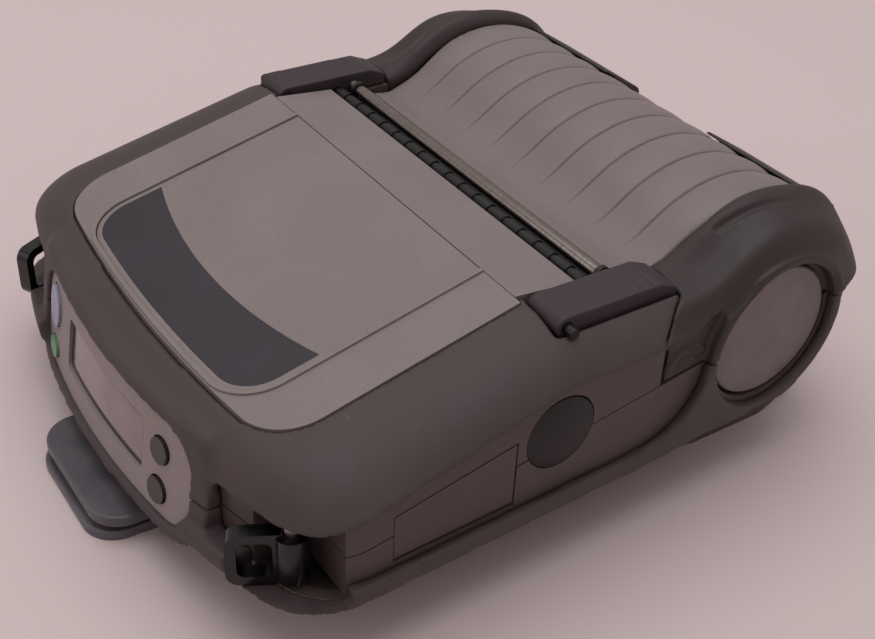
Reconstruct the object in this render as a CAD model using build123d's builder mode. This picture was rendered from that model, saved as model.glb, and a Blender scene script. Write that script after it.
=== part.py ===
from build123d import *
import os
from math import asin, atan2, cos, degrees, radians, sin, sqrt, tan

os.makedirs("parts", exist_ok=True)

# The printer stands on the floor at z = 0, its display looks along -Y and its media bay is at +Y.
# All sizes are millimetres and degrees.

# Light top panel: it falls towards the display from a ridge in front of the paper slot
panel_slope = 13.2
ridge_y = -8.0
ridge_z = 59.5
panel_half = 55.5
panel_front = -63.8
panel_bow = 4.0
panel_corner = 13.0
panel_thick = 2.4
panel_gap = 0.25

# Rubber shoulder round the panel, which ends below in a lip
lip_half = 75.0
lip_reach = 13.0
lip_bow = 12.3
lip_corner = 17.0
lip_depth = 9.4
side_taper = 2.1
bumper_wall = 2.6

# Housing halves, which meet in a parting line that climbs towards the rear
wall = 2.2
wall_recess = 2.7
case_front = -78.0
case_bow = 11.4
case_corner = 15.0
parting_z = 35.0
parting_slope = 6.3
parting_gap = 0.3
rim_half = lip_half
brow_reach = 7.2
rim_front = case_front - brow_reach
rim_bow = 13.6
rim_corner = 17.0
rim_bottom = 17.0
rim_height = 4.5
belly_z = 9.0
belly_half = 62.0

# Front corner pockets with their strap posts
pocket_x = 56.0
pocket_y = case_front + 17.5
pocket_ease = 0.6
post_x = 63.5
post_y = case_front + 11.0
post_radius = 2.0

# Media bay, a round tub under a humped cover
roll_y = 58.5
roll_z = 32.0
hump_radius = 34.0
hump_half = 54.0
hump_bands = 10
band_crown = 0.7
cover_wall = 2.2
bay_half = 57.5
tub_half = 60.0
bay_floor = 2.5
shell_front = 18.0
apron_front_z = 56.4
apron_back_z = 54.4
apron_blend = 22.0

# Cover hinge at the rear
hinge_y = roll_y + hump_radius - 6.5
hinge_z = 43.0
hinge_barrel = 4.6
hinge_pin = 1.5
trough_radius = hinge_barrel + 2.6
ear_thick = 3.2
tab_inner = 20.0
tab_outer = 53.7
running_gap = 0.06
free_gap = 0.3

# Cover cheeks, each with a lip that runs round an end disc
cheek_front = 14.0
crest_x = 58.8
crest_radius = hump_radius + 2.2
disc_y = 54.4
disc_z = 38.6
disc_radius = 17.0
ring_inner = 18.8
ring_outer = 21.4
pod_reach = 20.4
ring_lean = 10.0

# Paper path at the slot
strip_half = 53.0
strip_back = 8.5
strip_back_z = 57.8
rod_y = 15.7
rod_z = 57.0
rod_radius = 1.75
platen_y = 14.2
platen_z = 49.0
platen_radius = 5.5
shaft_radius = 2.0
bail_roller_y = 11.3
bail_roller_z = 56.0
bail_roller_radius = 1.7

# Side towers of the housing carry the peeler arms beside the slot
slot_half = 53.9
tower_half = 66.1
tower_back = 27.0
arm_floor = 54.6
pocket_nose = -6.9
arm_inner = 54.7
arm_outer = 65.5
arm_pivot_y = -3.5
arm_pivot_z = 57.6
arm_nose = 2.7
arm_rear = 26.6

# Front display
brow_half = 46.5
brow_low = 12.0
brow_high = 46.0
brow_corner = 12.0
hole_half = 40.5
hole_low = 14.6
hole_high = 38.6
hole_corner = 8.5
face_lean = 9.0
window_low = (-21.0, 20.5)
window_high = (21.5, 34.0)
power_at = (-33.0, 30.0)
feed_at = (-33.0, 18.6)
menu_x = 28.4
menu_z = (30.4, 20.2)

# Right side
door_bottom = 22.4
door_top = (34.2, 39.0)
door_thick = 2.2
button_y = -8.4
button_z = 37.0
button_radius = 8.8
button_dome = 2.4
door_y = (-50.0, button_y - button_radius - 2.8)

# Case screws
screw_front = (50.0, case_front + 14.0)
screw_rear = (62.0, 8.0)
screw_radius = 1.5
screw_top = 41.0
screw_head = 2.8
screw_base = 12.0
post_wide = 3.4

# Inset panel and crescent
insert_half = 40.6
insert_front = -61.9
insert_bow = 2.2
insert_corner = 11.0
insert_thick = 1.6
rim_wide = 1.3
rim_raise = 0.5
crescent_tip = -40.0
crescent_mid = -45.9
crescent_thick = 0.6

# Drive on the left side
gear_module = 0.8
platen_teeth = 12
idler_teeth = 24
pinion_teeth = 12
mesh_gap = 0.05
motor_turn = 10.0
gear_left = -53.5
gear_wide = 2.2
plate_x = -50.9
motor_face = -49.5
motor_long = 26.0
motor_radius = 9.5

# Print head
head_half = 50.0
head_thick = 2.4
head_tall = 12.0
head_mid_z = 49.0
spring_radius = 2.2
spring_wire = 0.4

# Bail pins
bail_pin = 1.2
bail_bar_radius = 1.0

# Buttons and bezel
bezel_back = 1.2
bezel_thick = 2.0
power_size = (4.2, 5.4)
feed_size = (3.4, 2.4)
menu_radius = 3.1
button_gap = 1.0

# Boards, battery and door
board_front = case_front + 20.5
board_back = -13.0
battery_tall = 15.0
door_pin = 0.7
disc_thick = 1.6

# Eyelets
post_tall = 17.0
eyelet_low = 17.8
eyelet_turn = 27.7
eyelet_thick = 3.4
eyelet_long = 13.2
eyelet_tall = 13.4
eyelet_bar = 2.2

# Clip layers
clip_tip_half = 20.0
clip_upper_z = 4.4
clip_upper_thick = 2.6
clip_jaw_thick = 2.4
clip_knuckle = 2.0
clip_pin = 0.9

# Media discs
media_radius = 14.0
media_hub = 9.0

# Inside the case
board_half = 58.0
board_z = 28.0
board_thick = 1.6
bridge_thick = 1.6
board_post_y = (-52.0, -18.0)
battery_x = 13.0
battery_y = -8.0
battery_wide = 72.0
battery_long = 44.0
key_floor = 1.2
key_wide = 4.0
ear_inner = 18.6
ear_outer = 51.6
trough_floor = 37.0
lobe_inner = 66.4
lobe_thick = 2.0
recess_deep = 3.4

# Belt clip
clip_y = -50.0
clip_tip = case_front - 14.5
clip_radius = 22.0
clip_stud = 5.0


panel_plane = Plane(
    origin=(0, ridge_y, ridge_z),
    x_dir=(1, 0, 0),
    z_dir=(0, -sin(radians(panel_slope)), cos(radians(panel_slope))),
)
parting_plane = Plane(
    origin=(0, 0, parting_z),
    x_dir=(1, 0, 0),
    z_dir=(0, -sin(radians(parting_slope)), cos(radians(parting_slope))),
)


def side_plane(inset):
    """The right side's own plane, drawn in from the lip: local x runs rearwards, local y up."""
    turn = radians(side_taper)
    return Plane(
        origin=(lip_half - inset, 0, 0),
        x_dir=(-sin(turn), cos(turn), 0),
        z_dir=(cos(turn), sin(turn), 0),
    )


def body_outline(plane, half, front, bow, corner, back, taper):
    """Outline of the front body: tapering sides, a bowed front and two round corners."""
    front_half = half - (front + bow) * tan(radians(taper))
    back_half = half - back * tan(radians(taper))
    with BuildSketch(plane) as outline:
        with BuildLine():
            Polyline(
                (-front_half, front + bow),
                (-back_half, back),
                (back_half, back),
                (front_half, front + bow),
            )
            ThreePointArc((-front_half, front + bow), (0, front), (front_half, front + bow))
        make_face()
        fillet(outline.vertices().group_by(Axis.Y)[0], corner)
    return outline.sketch


def shoulder_section(share, inset):
    """One outline of the shoulder, from the panel's edge (share 0) to the lip (share 1)."""
    reach = share * (lip_half - panel_half)
    arc_radius = ((lip_half - panel_half) ** 2 + lip_depth**2) / (2 * lip_depth)
    depth = arc_radius - sqrt(arc_radius**2 - reach**2)
    return body_outline(
        panel_plane.offset(-depth - inset * (1 - share)),
        panel_half + reach - inset * share,
        panel_front - share * (lip_reach - inset),
        panel_bow + share * (lip_bow - panel_bow),
        panel_corner + share * (lip_corner - panel_corner) - inset * share,
        6,
        side_taper * share,
    )


def shoulder_form(inset):
    """Solid under the shoulder surface, as far as the lip, with the part behind the ridge level."""
    with BuildPart() as form:
        for share in (0, 0.3, 0.6, 0.82, 1):
            add(shoulder_section(share, inset))
        loft()
        split(bisect_by=Plane((0, ridge_y, 0), z_dir=(0, 1, 0)), keep=Keep.BOTTOM)
        extrude(form.faces().sort_by(Axis.Y)[-1], amount=tower_back - ridge_y)
    return form.part


def case_outline(plane, inset, back):
    return body_outline(
        plane, lip_half - wall_recess - inset, case_front + inset, case_bow,
        case_corner - inset, back, side_taper,
    )


def notched_case(plane, inset, back):
    """The case's outline without the two corner pockets."""
    with BuildSketch(plane) as notched:
        add(case_outline(plane, inset, back))
        for side in (-1, 1):
            with Locations((side * (pocket_x - inset + 20), pocket_y + inset - 20)):
                Rectangle(40, 40, mode=Mode.SUBTRACT)
    return notched.sketch


def box_between(low, high):
    """A plain block between two corners."""
    size = [top - base for base, top in zip(low, high)]
    middle = [(top + base) / 2 for base, top in zip(low, high)]
    with BuildPart() as block:
        with Locations(tuple(middle)):
            Box(size[0], size[1], size[2])
    return block.part


def rod_along_x(x_low, x_high, y, z, radius):
    """A round bar or bore along X."""
    with BuildPart(Plane.YZ.offset(x_low)) as bar:
        with Locations((y, z, 0)):
            Cylinder(radius, x_high - x_low, align=(Align.CENTER, Align.CENTER, Align.MIN))
    return bar.part


def side_prism(outline, inset_outer, inset_inner):
    """Extrudes an outline drawn on the side plane, between two depths behind the lip."""
    with BuildPart() as prism:
        with BuildSketch(side_plane(inset_inner)):
            add(outline)
        extrude(amount=inset_inner - inset_outer)
    return prism.part


def gear(teeth, module, bore, width, turn):
    """A spur gear along X with straight-flanked teeth and a little backlash."""
    pitch = module * teeth / 2
    root = pitch - 1.2 * module
    tip = pitch + 0.9 * module
    with BuildPart() as wheel:
        with BuildSketch(Plane.YZ):
            Circle(root)
            with PolarLocations(0, teeth, start_angle=turn):
                with BuildLine():
                    Polyline(
                        (root - 0.4, 0.62 * module),
                        (pitch, 0.36 * module),
                        (tip, 0.2 * module),
                        (tip, -0.2 * module),
                        (pitch, -0.36 * module),
                        (root - 0.4, -0.62 * module),
                        close=True,
                    )
                make_face()
            Circle(bore, mode=Mode.SUBTRACT)
        extrude(amount=width)
    return wheel.part


# Forms that several pieces are cut or built from
shoulder_inner = shoulder_form(bumper_wall)

with BuildPart(parting_plane.offset(parting_gap / 2)) as upper_region:
    Box(220, 280, 90, align=(Align.CENTER, Align.CENTER, Align.MIN))
with BuildPart(parting_plane.offset(-parting_gap / 2)) as lower_region:
    Box(220, 280, 90, align=(Align.CENTER, Align.CENTER, Align.MAX))

# The shoulder's inner side, carried down as a column, is the outer limit of the upper case
with BuildPart() as inner_column:
    add(shoulder_inner)
    lip_faces = inner_column.faces().filter_by(lambda face: face.normal_at().Z < -0.9)
    for face in lip_faces:
        extrude(to_extrude=face, amount=45, dir=(0, 0, -1))

with BuildPart() as front_block:
    with BuildSketch(Plane.XY.offset(brow_low - 2)):
        add(body_outline(Plane.XY, rim_half, rim_front, rim_bow, rim_corner, -50, 0))
    extrude(amount=40, dir=(0, tan(radians(face_lean)), 1))

with BuildPart() as brow_block:
    with BuildSketch(Plane.XZ.offset(60)):
        with Locations((0, (brow_low + brow_high) / 2)):
            RectangleRounded(2 * brow_half, brow_high - brow_low, brow_corner)
    extrude(amount=40)
    add(front_block.part, mode=Mode.INTERSECT)
    split(bisect_by=panel_plane.offset(-1.2), keep=Keep.BOTTOM)

with BuildPart() as brow_hole:
    with BuildSketch(Plane.XZ.offset(60)):
        with Locations((0, (hole_low + hole_high) / 2)):
            RectangleRounded(2 * hole_half, hole_high - hole_low, hole_corner)
    extrude(amount=40)

# Behind this slanting plane the side belongs to the cover's cheek
with BuildPart() as cheek_side:
    with BuildSketch(Plane.XY.offset(-5)):
        with BuildLine():
            Polyline(
                (0, tower_back), (tower_half, tower_back), (lip_half + 1, cheek_front),
                (lip_half + 25, cheek_front), (lip_half + 25, 130), (0, 130), close=True,
            )
        make_face()
    extrude(amount=100)
    mirror(about=Plane.YZ)

# Pocket for the peeler arms, on both sides of the slot
with BuildPart() as arm_pockets:
    with BuildSketch(Plane.XY.offset(arm_floor)):
        with Locations(((slot_half + tower_half) / 2, (tower_back + 1 + pocket_nose) / 2)):
            Rectangle(tower_half - slot_half, tower_back + 1 - pocket_nose)
    extrude(amount=20)
    mirror(about=Plane.YZ)

with BuildPart() as panel_cut:
    add(body_outline(panel_plane, panel_half, panel_front, panel_bow, panel_corner, 0.01, 0))
    extrude(amount=-panel_thick - 0.1)

slot_cut = box_between((-slot_half, ridge_y, 40), (slot_half, 40, 70))

with BuildSketch() as door_shape:
    with BuildLine():
        Polyline(
            (door_y[0], door_bottom), (door_y[1], door_bottom), (door_y[1], door_top[1]),
            (door_y[0], door_top[0]), close=True,
        )
    make_face()
with BuildSketch() as door_hole_shape:
    add(door_shape.sketch)
    offset(amount=free_gap)
door_pin_z = door_bottom + door_thick / 2
with BuildPart() as door_pin_form:
    with Locations(side_plane(wall_recess + door_thick / 2)):
        with Locations(((door_y[0] + door_y[1]) / 2, door_pin_z, 0)):
            Cylinder(door_pin, door_y[1] - door_y[0] + 3, rotation=(0, 90, 0))
with BuildPart() as door_pin_bore:
    with Locations(side_plane(wall_recess + door_thick / 2)):
        with Locations(((door_y[0] + door_y[1]) / 2, door_pin_z, 0)):
            Cylinder(door_pin + running_gap, door_y[1] - door_y[0] + 4, rotation=(0, 90, 0))
door_hole = side_prism(door_hole_shape.sketch, -3, 9)
with BuildSketch() as button_hole_shape:
    with Locations((button_y, button_z)):
        Circle(button_radius + free_gap)
button_hole = side_prism(button_hole_shape.sketch, -3, 9)

bail_pin_bore = rod_along_x(-tower_half - 2, tower_half + 2, arm_pivot_y, arm_pivot_z, bail_pin)

# Rubber shoulder with the brow over the display
with BuildPart() as upper_bumper:
    add(shoulder_form(0))
    add(brow_block.part)
    add(inner_column.part, mode=Mode.SUBTRACT)
    add(upper_region.part, mode=Mode.INTERSECT)
    add(cheek_side.part, mode=Mode.SUBTRACT)
    add(panel_cut.part, mode=Mode.SUBTRACT)
    add(slot_cut, mode=Mode.SUBTRACT)
    add(arm_pockets.part, mode=Mode.SUBTRACT)
    add(brow_hole.part, mode=Mode.SUBTRACT)
    add(bail_pin_bore, mode=Mode.SUBTRACT)
upper_bumper.part.label = "upper_bumper"
export_step(upper_bumper.part, "parts/upper_bumper.step")

# Upper half of the case, open below and at the slot, with a tower on each side of the slot
with BuildPart() as upper_inside:
    add(notched_case(Plane.XY.offset(5), wall, tower_back - wall))
    extrude(amount=70)
    add(inner_column.part.moved(Location((0, 0, -wall))), mode=Mode.INTERSECT)

with BuildPart() as corner_roofs:
    add(shoulder_inner)
    with Locations((0, pocket_y - 20, 40)):
        Box(200, 40, 60, mode=Mode.INTERSECT)
    with Locations((0, pocket_y - 20, 40)):
        Box(2 * pocket_x, 42, 62, mode=Mode.SUBTRACT)

screw_places = [
    (side * place[0], place[1]) for side in (-1, 1) for place in (screw_front, screw_rear)
]

with BuildPart() as upper_housing:
    add(notched_case(Plane.XY.offset(5), 0, tower_back))
    extrude(amount=70)
    add(inner_column.part, mode=Mode.INTERSECT)
    add(upper_inside.part, mode=Mode.SUBTRACT)
    add(corner_roofs.part)
    # tower walls beside the slot
    for side in (-1, 1):
        with Locations((side * (slot_half + wall / 2), (tower_back + ridge_y) / 2, 45)):
            Box(wall, tower_back - ridge_y, 20)
        with Locations((side * (slot_half + tower_half) / 2, (tower_back + ridge_y) / 2, arm_floor - 1)):
            Box(tower_half - slot_half, tower_back - ridge_y, 2)
    # bridge behind the panel that carries the print head
    with Locations((0, ridge_y + bridge_thick / 2, 50)):
        Box(2 * slot_half, bridge_thick, 12)
    # screw posts
    with Locations([(x, y, 30) for x, y in screw_places]):
        Cylinder(post_wide, 40, align=(Align.CENTER, Align.CENTER, Align.MIN))
    add(inner_column.part, mode=Mode.INTERSECT)
    add(upper_region.part, mode=Mode.INTERSECT)
    add(cheek_side.part, mode=Mode.SUBTRACT)
    add(panel_cut.part, mode=Mode.SUBTRACT)
    add(arm_pockets.part, mode=Mode.SUBTRACT)
    add(box_between((-slot_half, ridge_y + bridge_thick, 30), (slot_half, 40, 70)), mode=Mode.SUBTRACT)
    add(brow_hole.part, mode=Mode.SUBTRACT)
    add(door_hole, mode=Mode.SUBTRACT)
    add(button_hole, mode=Mode.SUBTRACT)
    with Locations([(x, y, 25) for x, y in screw_places]):
        Cylinder(screw_radius, screw_top - 25, align=(Align.CENTER, Align.CENTER, Align.MIN),
                 mode=Mode.SUBTRACT)
upper_housing.part.label = "upper_housing"
export_step(upper_housing.part, "parts/upper_housing.step")


def tub(radius, half, floor):
    """Round tub of the media bay, cut flat at its floor."""
    with BuildPart() as shape:
        with BuildSketch(Plane.YZ.offset(-half)):
            with Locations((roll_y, roll_z)):
                Circle(radius)
            with Locations((roll_y, floor)):
                Rectangle(90, 200, align=(Align.CENTER, Align.MIN), mode=Mode.INTERSECT)
        extrude(amount=2 * half)
    return shape.part


def belly(inset, floor):
    """Tapered belly under the front of the case."""
    with BuildPart() as shape:
        add(body_outline(Plane.XY.offset(rim_bottom + 0.2), lip_half - wall_recess - inset,
                         case_front + inset, case_bow, case_corner - inset, roll_y - 28, side_taper))
        add(body_outline(Plane.XY.offset(floor), belly_half - inset, case_front + inset + 12,
                         case_bow - 3, case_corner - inset, roll_y - 28, side_taper))
        loft()
    return shape.part


def rim_outline():
    """Side view of the rubber rim: level at the front, then up round the end disc."""
    with BuildSketch() as outline:
        with Locations((-40, rim_bottom)):
            Rectangle(110, rim_height, align=(Align.CENTER, Align.MIN))
        with Locations((disc_y, disc_z)):
            Circle(ring_outer)
        with BuildLine():
            Line((disc_y, rim_bottom), (8, rim_bottom))
            Line((8, rim_bottom), (8, rim_bottom + rim_height))
            Spline(
                (8, rim_bottom + rim_height), (disc_y - ring_outer - 5, 27), (disc_y - ring_outer, disc_z),
                tangents=((1, 0), (0.1, 1)),
            )
            Line((disc_y - ring_outer, disc_z), (disc_y, rim_bottom))
        make_face()
    return outline.sketch


# Side pods under the cover's cheeks, which hold the lower half of the end discs' rings
with BuildPart() as side_pods:
    with BuildSketch(Plane.YZ.offset(tub_half - 2)):
        with BuildLine():
            Polyline(
                (disc_y, rim_bottom), (cheek_front - 4, rim_bottom), (cheek_front - 4, 45),
                (disc_y + pod_reach, 45), (disc_y + pod_reach, disc_z),
            )
            RadiusArc((disc_y + pod_reach, disc_z), (disc_y, disc_z - pod_reach), pod_reach)
            Line((disc_y, disc_z - pod_reach), (disc_y, rim_bottom))
        make_face()
    extrude(amount=20)
    with BuildPart(side_plane(wall_recess), mode=Mode.PRIVATE) as beyond_wall:
        Box(300, 200, 30, align=(Align.CENTER, Align.CENTER, Align.MIN))
    add(beyond_wall.part, mode=Mode.SUBTRACT)

with BuildPart() as disc_bore:
    with BuildSketch(Plane.YZ.offset(lobe_inner - free_gap)):
        with Locations((disc_y, disc_z)):
            Circle(disc_radius + 0.4 + free_gap)
    extrude(amount=20)

with BuildPart() as trough:
    with Locations(Plane.YZ.offset(-tower_half)):
        with Locations((hinge_y, hinge_z, 0)):
            Cylinder(trough_radius, 2 * tower_half, align=(Align.CENTER, Align.CENTER, Align.MIN))
    with Locations((0, hinge_y + 10, trough_floor)):
        Box(2 * tower_half, 20, 20, align=(Align.CENTER, Align.CENTER, Align.MIN))

tub_outer = tub(hump_radius, tub_half, 0)
tub_space = tub(hump_radius, tub_half, -10)
tub_room = tub(hump_radius - wall, bay_half, bay_floor)
belly_outer = belly(0, belly_z)
belly_room = belly(wall, belly_z + wall)
hinge_bore = rod_along_x(-tower_half, tower_half, hinge_y, hinge_z, hinge_pin)

# Lower half of the case with the belly, the media tub and the hinge ears
with BuildPart() as lower_housing:
    add(notched_case(Plane.XY.offset(rim_bottom), 0, tower_back + 4))
    extrude(amount=30)
    add(belly_outer)
    with BuildSketch(Plane.XY.offset(rim_bottom - 2)):
        add(case_outline(Plane.XY, 0, -40))
    extrude(amount=2.2)
    add(tub_outer)
    add(side_pods.part)
    mirror(side_pods.part, about=Plane.YZ)
    # front cavity, closed behind by the tub
    with BuildPart(mode=Mode.PRIVATE) as front_cavity:
        add(notched_case(Plane.XY.offset(rim_bottom - 0.1), wall, tower_back + 3))
        extrude(amount=60)
        add(belly_room)
        add(tub_space, mode=Mode.SUBTRACT)
    add(front_cavity.part, mode=Mode.SUBTRACT)
    add(tub_room, mode=Mode.SUBTRACT)
    # room in the pods behind the end discs
    for side in (-1, 1):
        with BuildPart(mode=Mode.PRIVATE) as pod_room:
            with BuildSketch(Plane.YZ.offset(tub_half if side > 0 else -tub_half - 7)):
                with Locations((disc_y - 3, disc_z + 2)):
                    Circle(disc_radius - 1)
            extrude(amount=7)
        add(pod_room.part, mode=Mode.SUBTRACT)
    add(disc_bore.part, mode=Mode.SUBTRACT)
    mirror(disc_bore.part, about=Plane.YZ, mode=Mode.SUBTRACT)
    # screw bosses
    with Locations([(x, y, belly_z + 1) for x, y in screw_places]):
        Cylinder(post_wide, 40, align=(Align.CENTER, Align.CENTER, Align.MIN))
    # posts for the main board
    with Locations([(x, y, belly_z + 1) for x in (-board_half + 5, board_half - 5) for y in board_post_y]):
        Cylinder(3, board_z - belly_z - 1, align=(Align.CENTER, Align.CENTER, Align.MIN))
    add(lower_region.part, mode=Mode.INTERSECT)
    add(trough.part, mode=Mode.SUBTRACT)
    # hinge ears
    for side in (-1, 1):
        for ear_x in (ear_inner, ear_outer):
            with BuildSketch(Plane.YZ.offset(side * ear_x - ear_thick / 2)):
                with Locations((hinge_y, hinge_z)):
                    Circle(hinge_barrel - 0.2)
                with Locations((hinge_y, hinge_z)):
                    Rectangle(2 * hinge_barrel - 0.4, 14, align=(Align.CENTER, Align.MAX))
            extrude(amount=ear_thick)
    add(hinge_bore, mode=Mode.SUBTRACT)
    with Locations([(x, y, 0) for x, y in screw_places]):
        Cylinder(screw_radius + 0.2, 60, align=(Align.CENTER, Align.CENTER, Align.MIN), mode=Mode.SUBTRACT)
        Cylinder(screw_head + 0.2, screw_base + 3, align=(Align.CENTER, Align.CENTER, Align.MIN),
                 mode=Mode.SUBTRACT)
    add(brow_hole.part, mode=Mode.SUBTRACT)
    add(door_hole, mode=Mode.SUBTRACT)
    add(button_hole, mode=Mode.SUBTRACT)
    add(door_pin_bore.part, mode=Mode.SUBTRACT)
    # groove in the bay floor that guides the media discs
    with Locations((0, roll_y, key_floor)):
        Box(2 * bay_half, key_wide, 5, align=(Align.CENTER, Align.CENTER, Align.MIN), mode=Mode.SUBTRACT)
    # opening for the battery and the stud of the belt clip
    with Locations((battery_x, battery_y, belly_z - 3)):
        Box(battery_wide + 0.6, battery_long + 0.6, 8, align=(Align.CENTER, Align.CENTER, Align.MIN),
            mode=Mode.SUBTRACT)
    with Locations((0, clip_y, belly_z - 1)):
        Cylinder(clip_stud + running_gap, 12, align=(Align.CENTER, Align.CENTER, Align.MIN),
                 mode=Mode.SUBTRACT)
lower_housing.part.label = "lower_housing"
export_step(lower_housing.part, "parts/lower_housing.step")

# The ring round the end disc draws in towards its foot
with BuildPart(Plane((lip_half, disc_y, disc_z), x_dir=(0, 1, 0),
                     z_dir=(cos(radians(ring_lean)), 0.035, -sin(radians(ring_lean))))) as under_ring:
    Box(60, 120, 20, align=(Align.CENTER, Align.CENTER, Align.MIN))
    with Locations(Plane.XY):
        with Locations((0, disc_y - 50, 0)):
            Box(400, 50, 400, mode=Mode.SUBTRACT)
        with Locations((0, 0, disc_z + 100)):
            Box(400, 400, 200, mode=Mode.SUBTRACT)

# Rubber rim round the foot of the case, with the lower half of the brow and of the disc rings
with BuildPart() as lower_bumper:
    with BuildSketch(Plane.XY.offset(5)):
        add(body_outline(Plane.XY, rim_half, rim_front, rim_bow, rim_corner, disc_y + ring_outer, side_taper))
    extrude(amount=42)
    with BuildPart(mode=Mode.PRIVATE) as side_band:
        with BuildSketch(Plane.YZ.offset(-90)):
            add(rim_outline())
        extrude(amount=180)
    add(side_band.part, mode=Mode.INTERSECT)
    add(brow_block.part)
    with BuildPart(mode=Mode.PRIVATE) as case_core:
        add(case_outline(Plane.XY.offset(5), 0, 90))
        extrude(amount=60)
    add(case_core.part, mode=Mode.SUBTRACT)
    with BuildPart(mode=Mode.PRIVATE) as ring_bore:
        with BuildSketch(Plane.YZ.offset(-90)):
            with Locations((disc_y, disc_z)):
                Circle(ring_inner)
        extrude(amount=180)
    add(ring_bore.part, mode=Mode.SUBTRACT)
    add(brow_hole.part, mode=Mode.SUBTRACT)
    add(lower_region.part, mode=Mode.INTERSECT)
    add(under_ring.part, mode=Mode.SUBTRACT)
    mirror(under_ring.part, about=Plane.YZ, mode=Mode.SUBTRACT)
    # low floor of the rim in the corner pockets
    with Locations([(side * (pocket_x - pocket_ease + 20), pocket_y - 20, rim_bottom + 0.4)
                    for side in (-1, 1)]):
        Box(40, 40, 6, align=(Align.CENTER, Align.CENTER, Align.MIN), mode=Mode.SUBTRACT)
lower_bumper.part.label = "lower_bumper"
export_step(lower_bumper.part, "parts/lower_bumper.step")

# Light top panel with a raised rim round the inset panel
with BuildPart() as insert_form:
    add(body_outline(panel_plane, insert_half, insert_front, insert_bow, insert_corner, -0.2, 0))
    extrude(amount=-insert_thick)
with BuildPart() as rim_form:
    add(body_outline(panel_plane, insert_half + rim_wide, insert_front - rim_wide, insert_bow,
                     insert_corner + rim_wide, -0.2, 0))
    extrude(amount=rim_raise)
with BuildPart() as insert_hole:
    add(body_outline(panel_plane, insert_half + panel_gap, insert_front - panel_gap, insert_bow,
                     insert_corner + panel_gap, 1, 0))
    extrude(amount=insert_thick, both=True)
with BuildPart() as top_panel:
    add(body_outline(panel_plane, panel_half - panel_gap, panel_front + panel_gap, panel_bow,
                     panel_corner - panel_gap, -0.1, 0))
    extrude(amount=-panel_thick)
    add(rim_form.part)
    add(insert_hole.part, mode=Mode.SUBTRACT)
top_panel.part.label = "top_panel"
export_step(top_panel.part, "parts/top_panel.step")

# Dark crescent let into the front of the inset panel
with BuildSketch(panel_plane) as crescent_shape:
    add(body_outline(Plane.XY, insert_half - 1.2, insert_front + 1.2, insert_bow,
                     insert_corner - 1.2, crescent_tip, 0))
    with BuildLine():
        Line((-60, 10), (-60, crescent_tip))
        Line((-60, crescent_tip), (1.2 - insert_half, crescent_tip))
        ThreePointArc((1.2 - insert_half, crescent_tip), (0, crescent_mid), (insert_half - 1.2, crescent_tip))
        Line((insert_half - 1.2, crescent_tip), (60, crescent_tip))
        Line((60, crescent_tip), (60, 10))
        Line((60, 10), (-60, 10))
    make_face(mode=Mode.SUBTRACT)
with BuildPart() as crescent_inlay:
    add(crescent_shape.sketch)
    extrude(amount=-crescent_thick)
crescent_inlay.part.label = "crescent_inlay"
export_step(crescent_inlay.part, "parts/crescent_inlay.step")

with BuildPart() as insert_panel:
    add(insert_form.part)
    add(crescent_inlay.part, mode=Mode.SUBTRACT)
insert_panel.part.label = "insert_panel"
export_step(insert_panel.part, "parts/insert_panel.step")

# Light strip over the print head, behind the ridge
with BuildPart() as printhead_cover:
    with BuildSketch(Plane.YZ.offset(-strip_half)):
        with BuildLine():
            Polyline(
                (ridge_y + 0.1, ridge_z), (strip_back, strip_back_z), (strip_back, strip_back_z - 1.6),
                (ridge_y + 0.1, ridge_z - bumper_wall), close=True,
            )
        make_face()
    extrude(amount=2 * strip_half)
printhead_cover.part.label = "printhead_cover"
export_step(printhead_cover.part, "parts/printhead_cover.step")

# Ribbed cover over the media bay, with its cheeks
band = 2 * hump_half / hump_bands

# Crowned bands turned about the roll's axis
with BuildPart() as hump_bands_form:
    with BuildSketch(Plane((0, roll_y, roll_z), x_dir=(1, 0, 0), z_dir=(0, -1, 0))) as band_profile:
        with BuildLine():
            Line((-hump_half, 0), (-hump_half, hump_radius - band_crown))
            for place in range(hump_bands):
                start = -hump_half + place * band
                ThreePointArc(
                    (start, hump_radius - band_crown),
                    (start + band / 2, hump_radius),
                    (start + band, hump_radius - band_crown),
                )
            Line((hump_half, hump_radius - band_crown), (hump_half, 0))
            Line((hump_half, 0), (-hump_half, 0))
        make_face()
    revolve(axis=Axis((0, roll_y, roll_z), (1, 0, 0)), revolution_arc=360)

# The apron at the front, whose hollow curve swallows the creases little by little
foot_radius = hump_radius - band_crown * 0.45
apron_angle = asin((apron_back_z - roll_z + apron_blend) / (foot_radius + apron_blend))
foot_y = roll_y - foot_radius * cos(apron_angle)
foot_z = roll_z + foot_radius * sin(apron_angle)
blend_y = foot_y - apron_blend * cos(apron_angle)
blend_z = foot_z + apron_blend * sin(apron_angle)
half_way = (radians(90) + apron_angle) / 2
with BuildPart() as apron_form:
    with BuildSketch(Plane.YZ.offset(-hump_half)):
        with BuildLine():
            ThreePointArc(
                (foot_y, foot_z),
                (blend_y + apron_blend * cos(half_way), blend_z - apron_blend * sin(half_way)),
                (blend_y, blend_z - apron_blend),
            )
            Polyline(
                (blend_y, blend_z - apron_blend), (shell_front, apron_front_z),
                (shell_front, apron_front_z - cover_wall), (roll_y - 24, roll_z), (roll_y, roll_z),
                (foot_y, foot_z),
            )
        make_face()
    extrude(amount=2 * hump_half)

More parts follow.
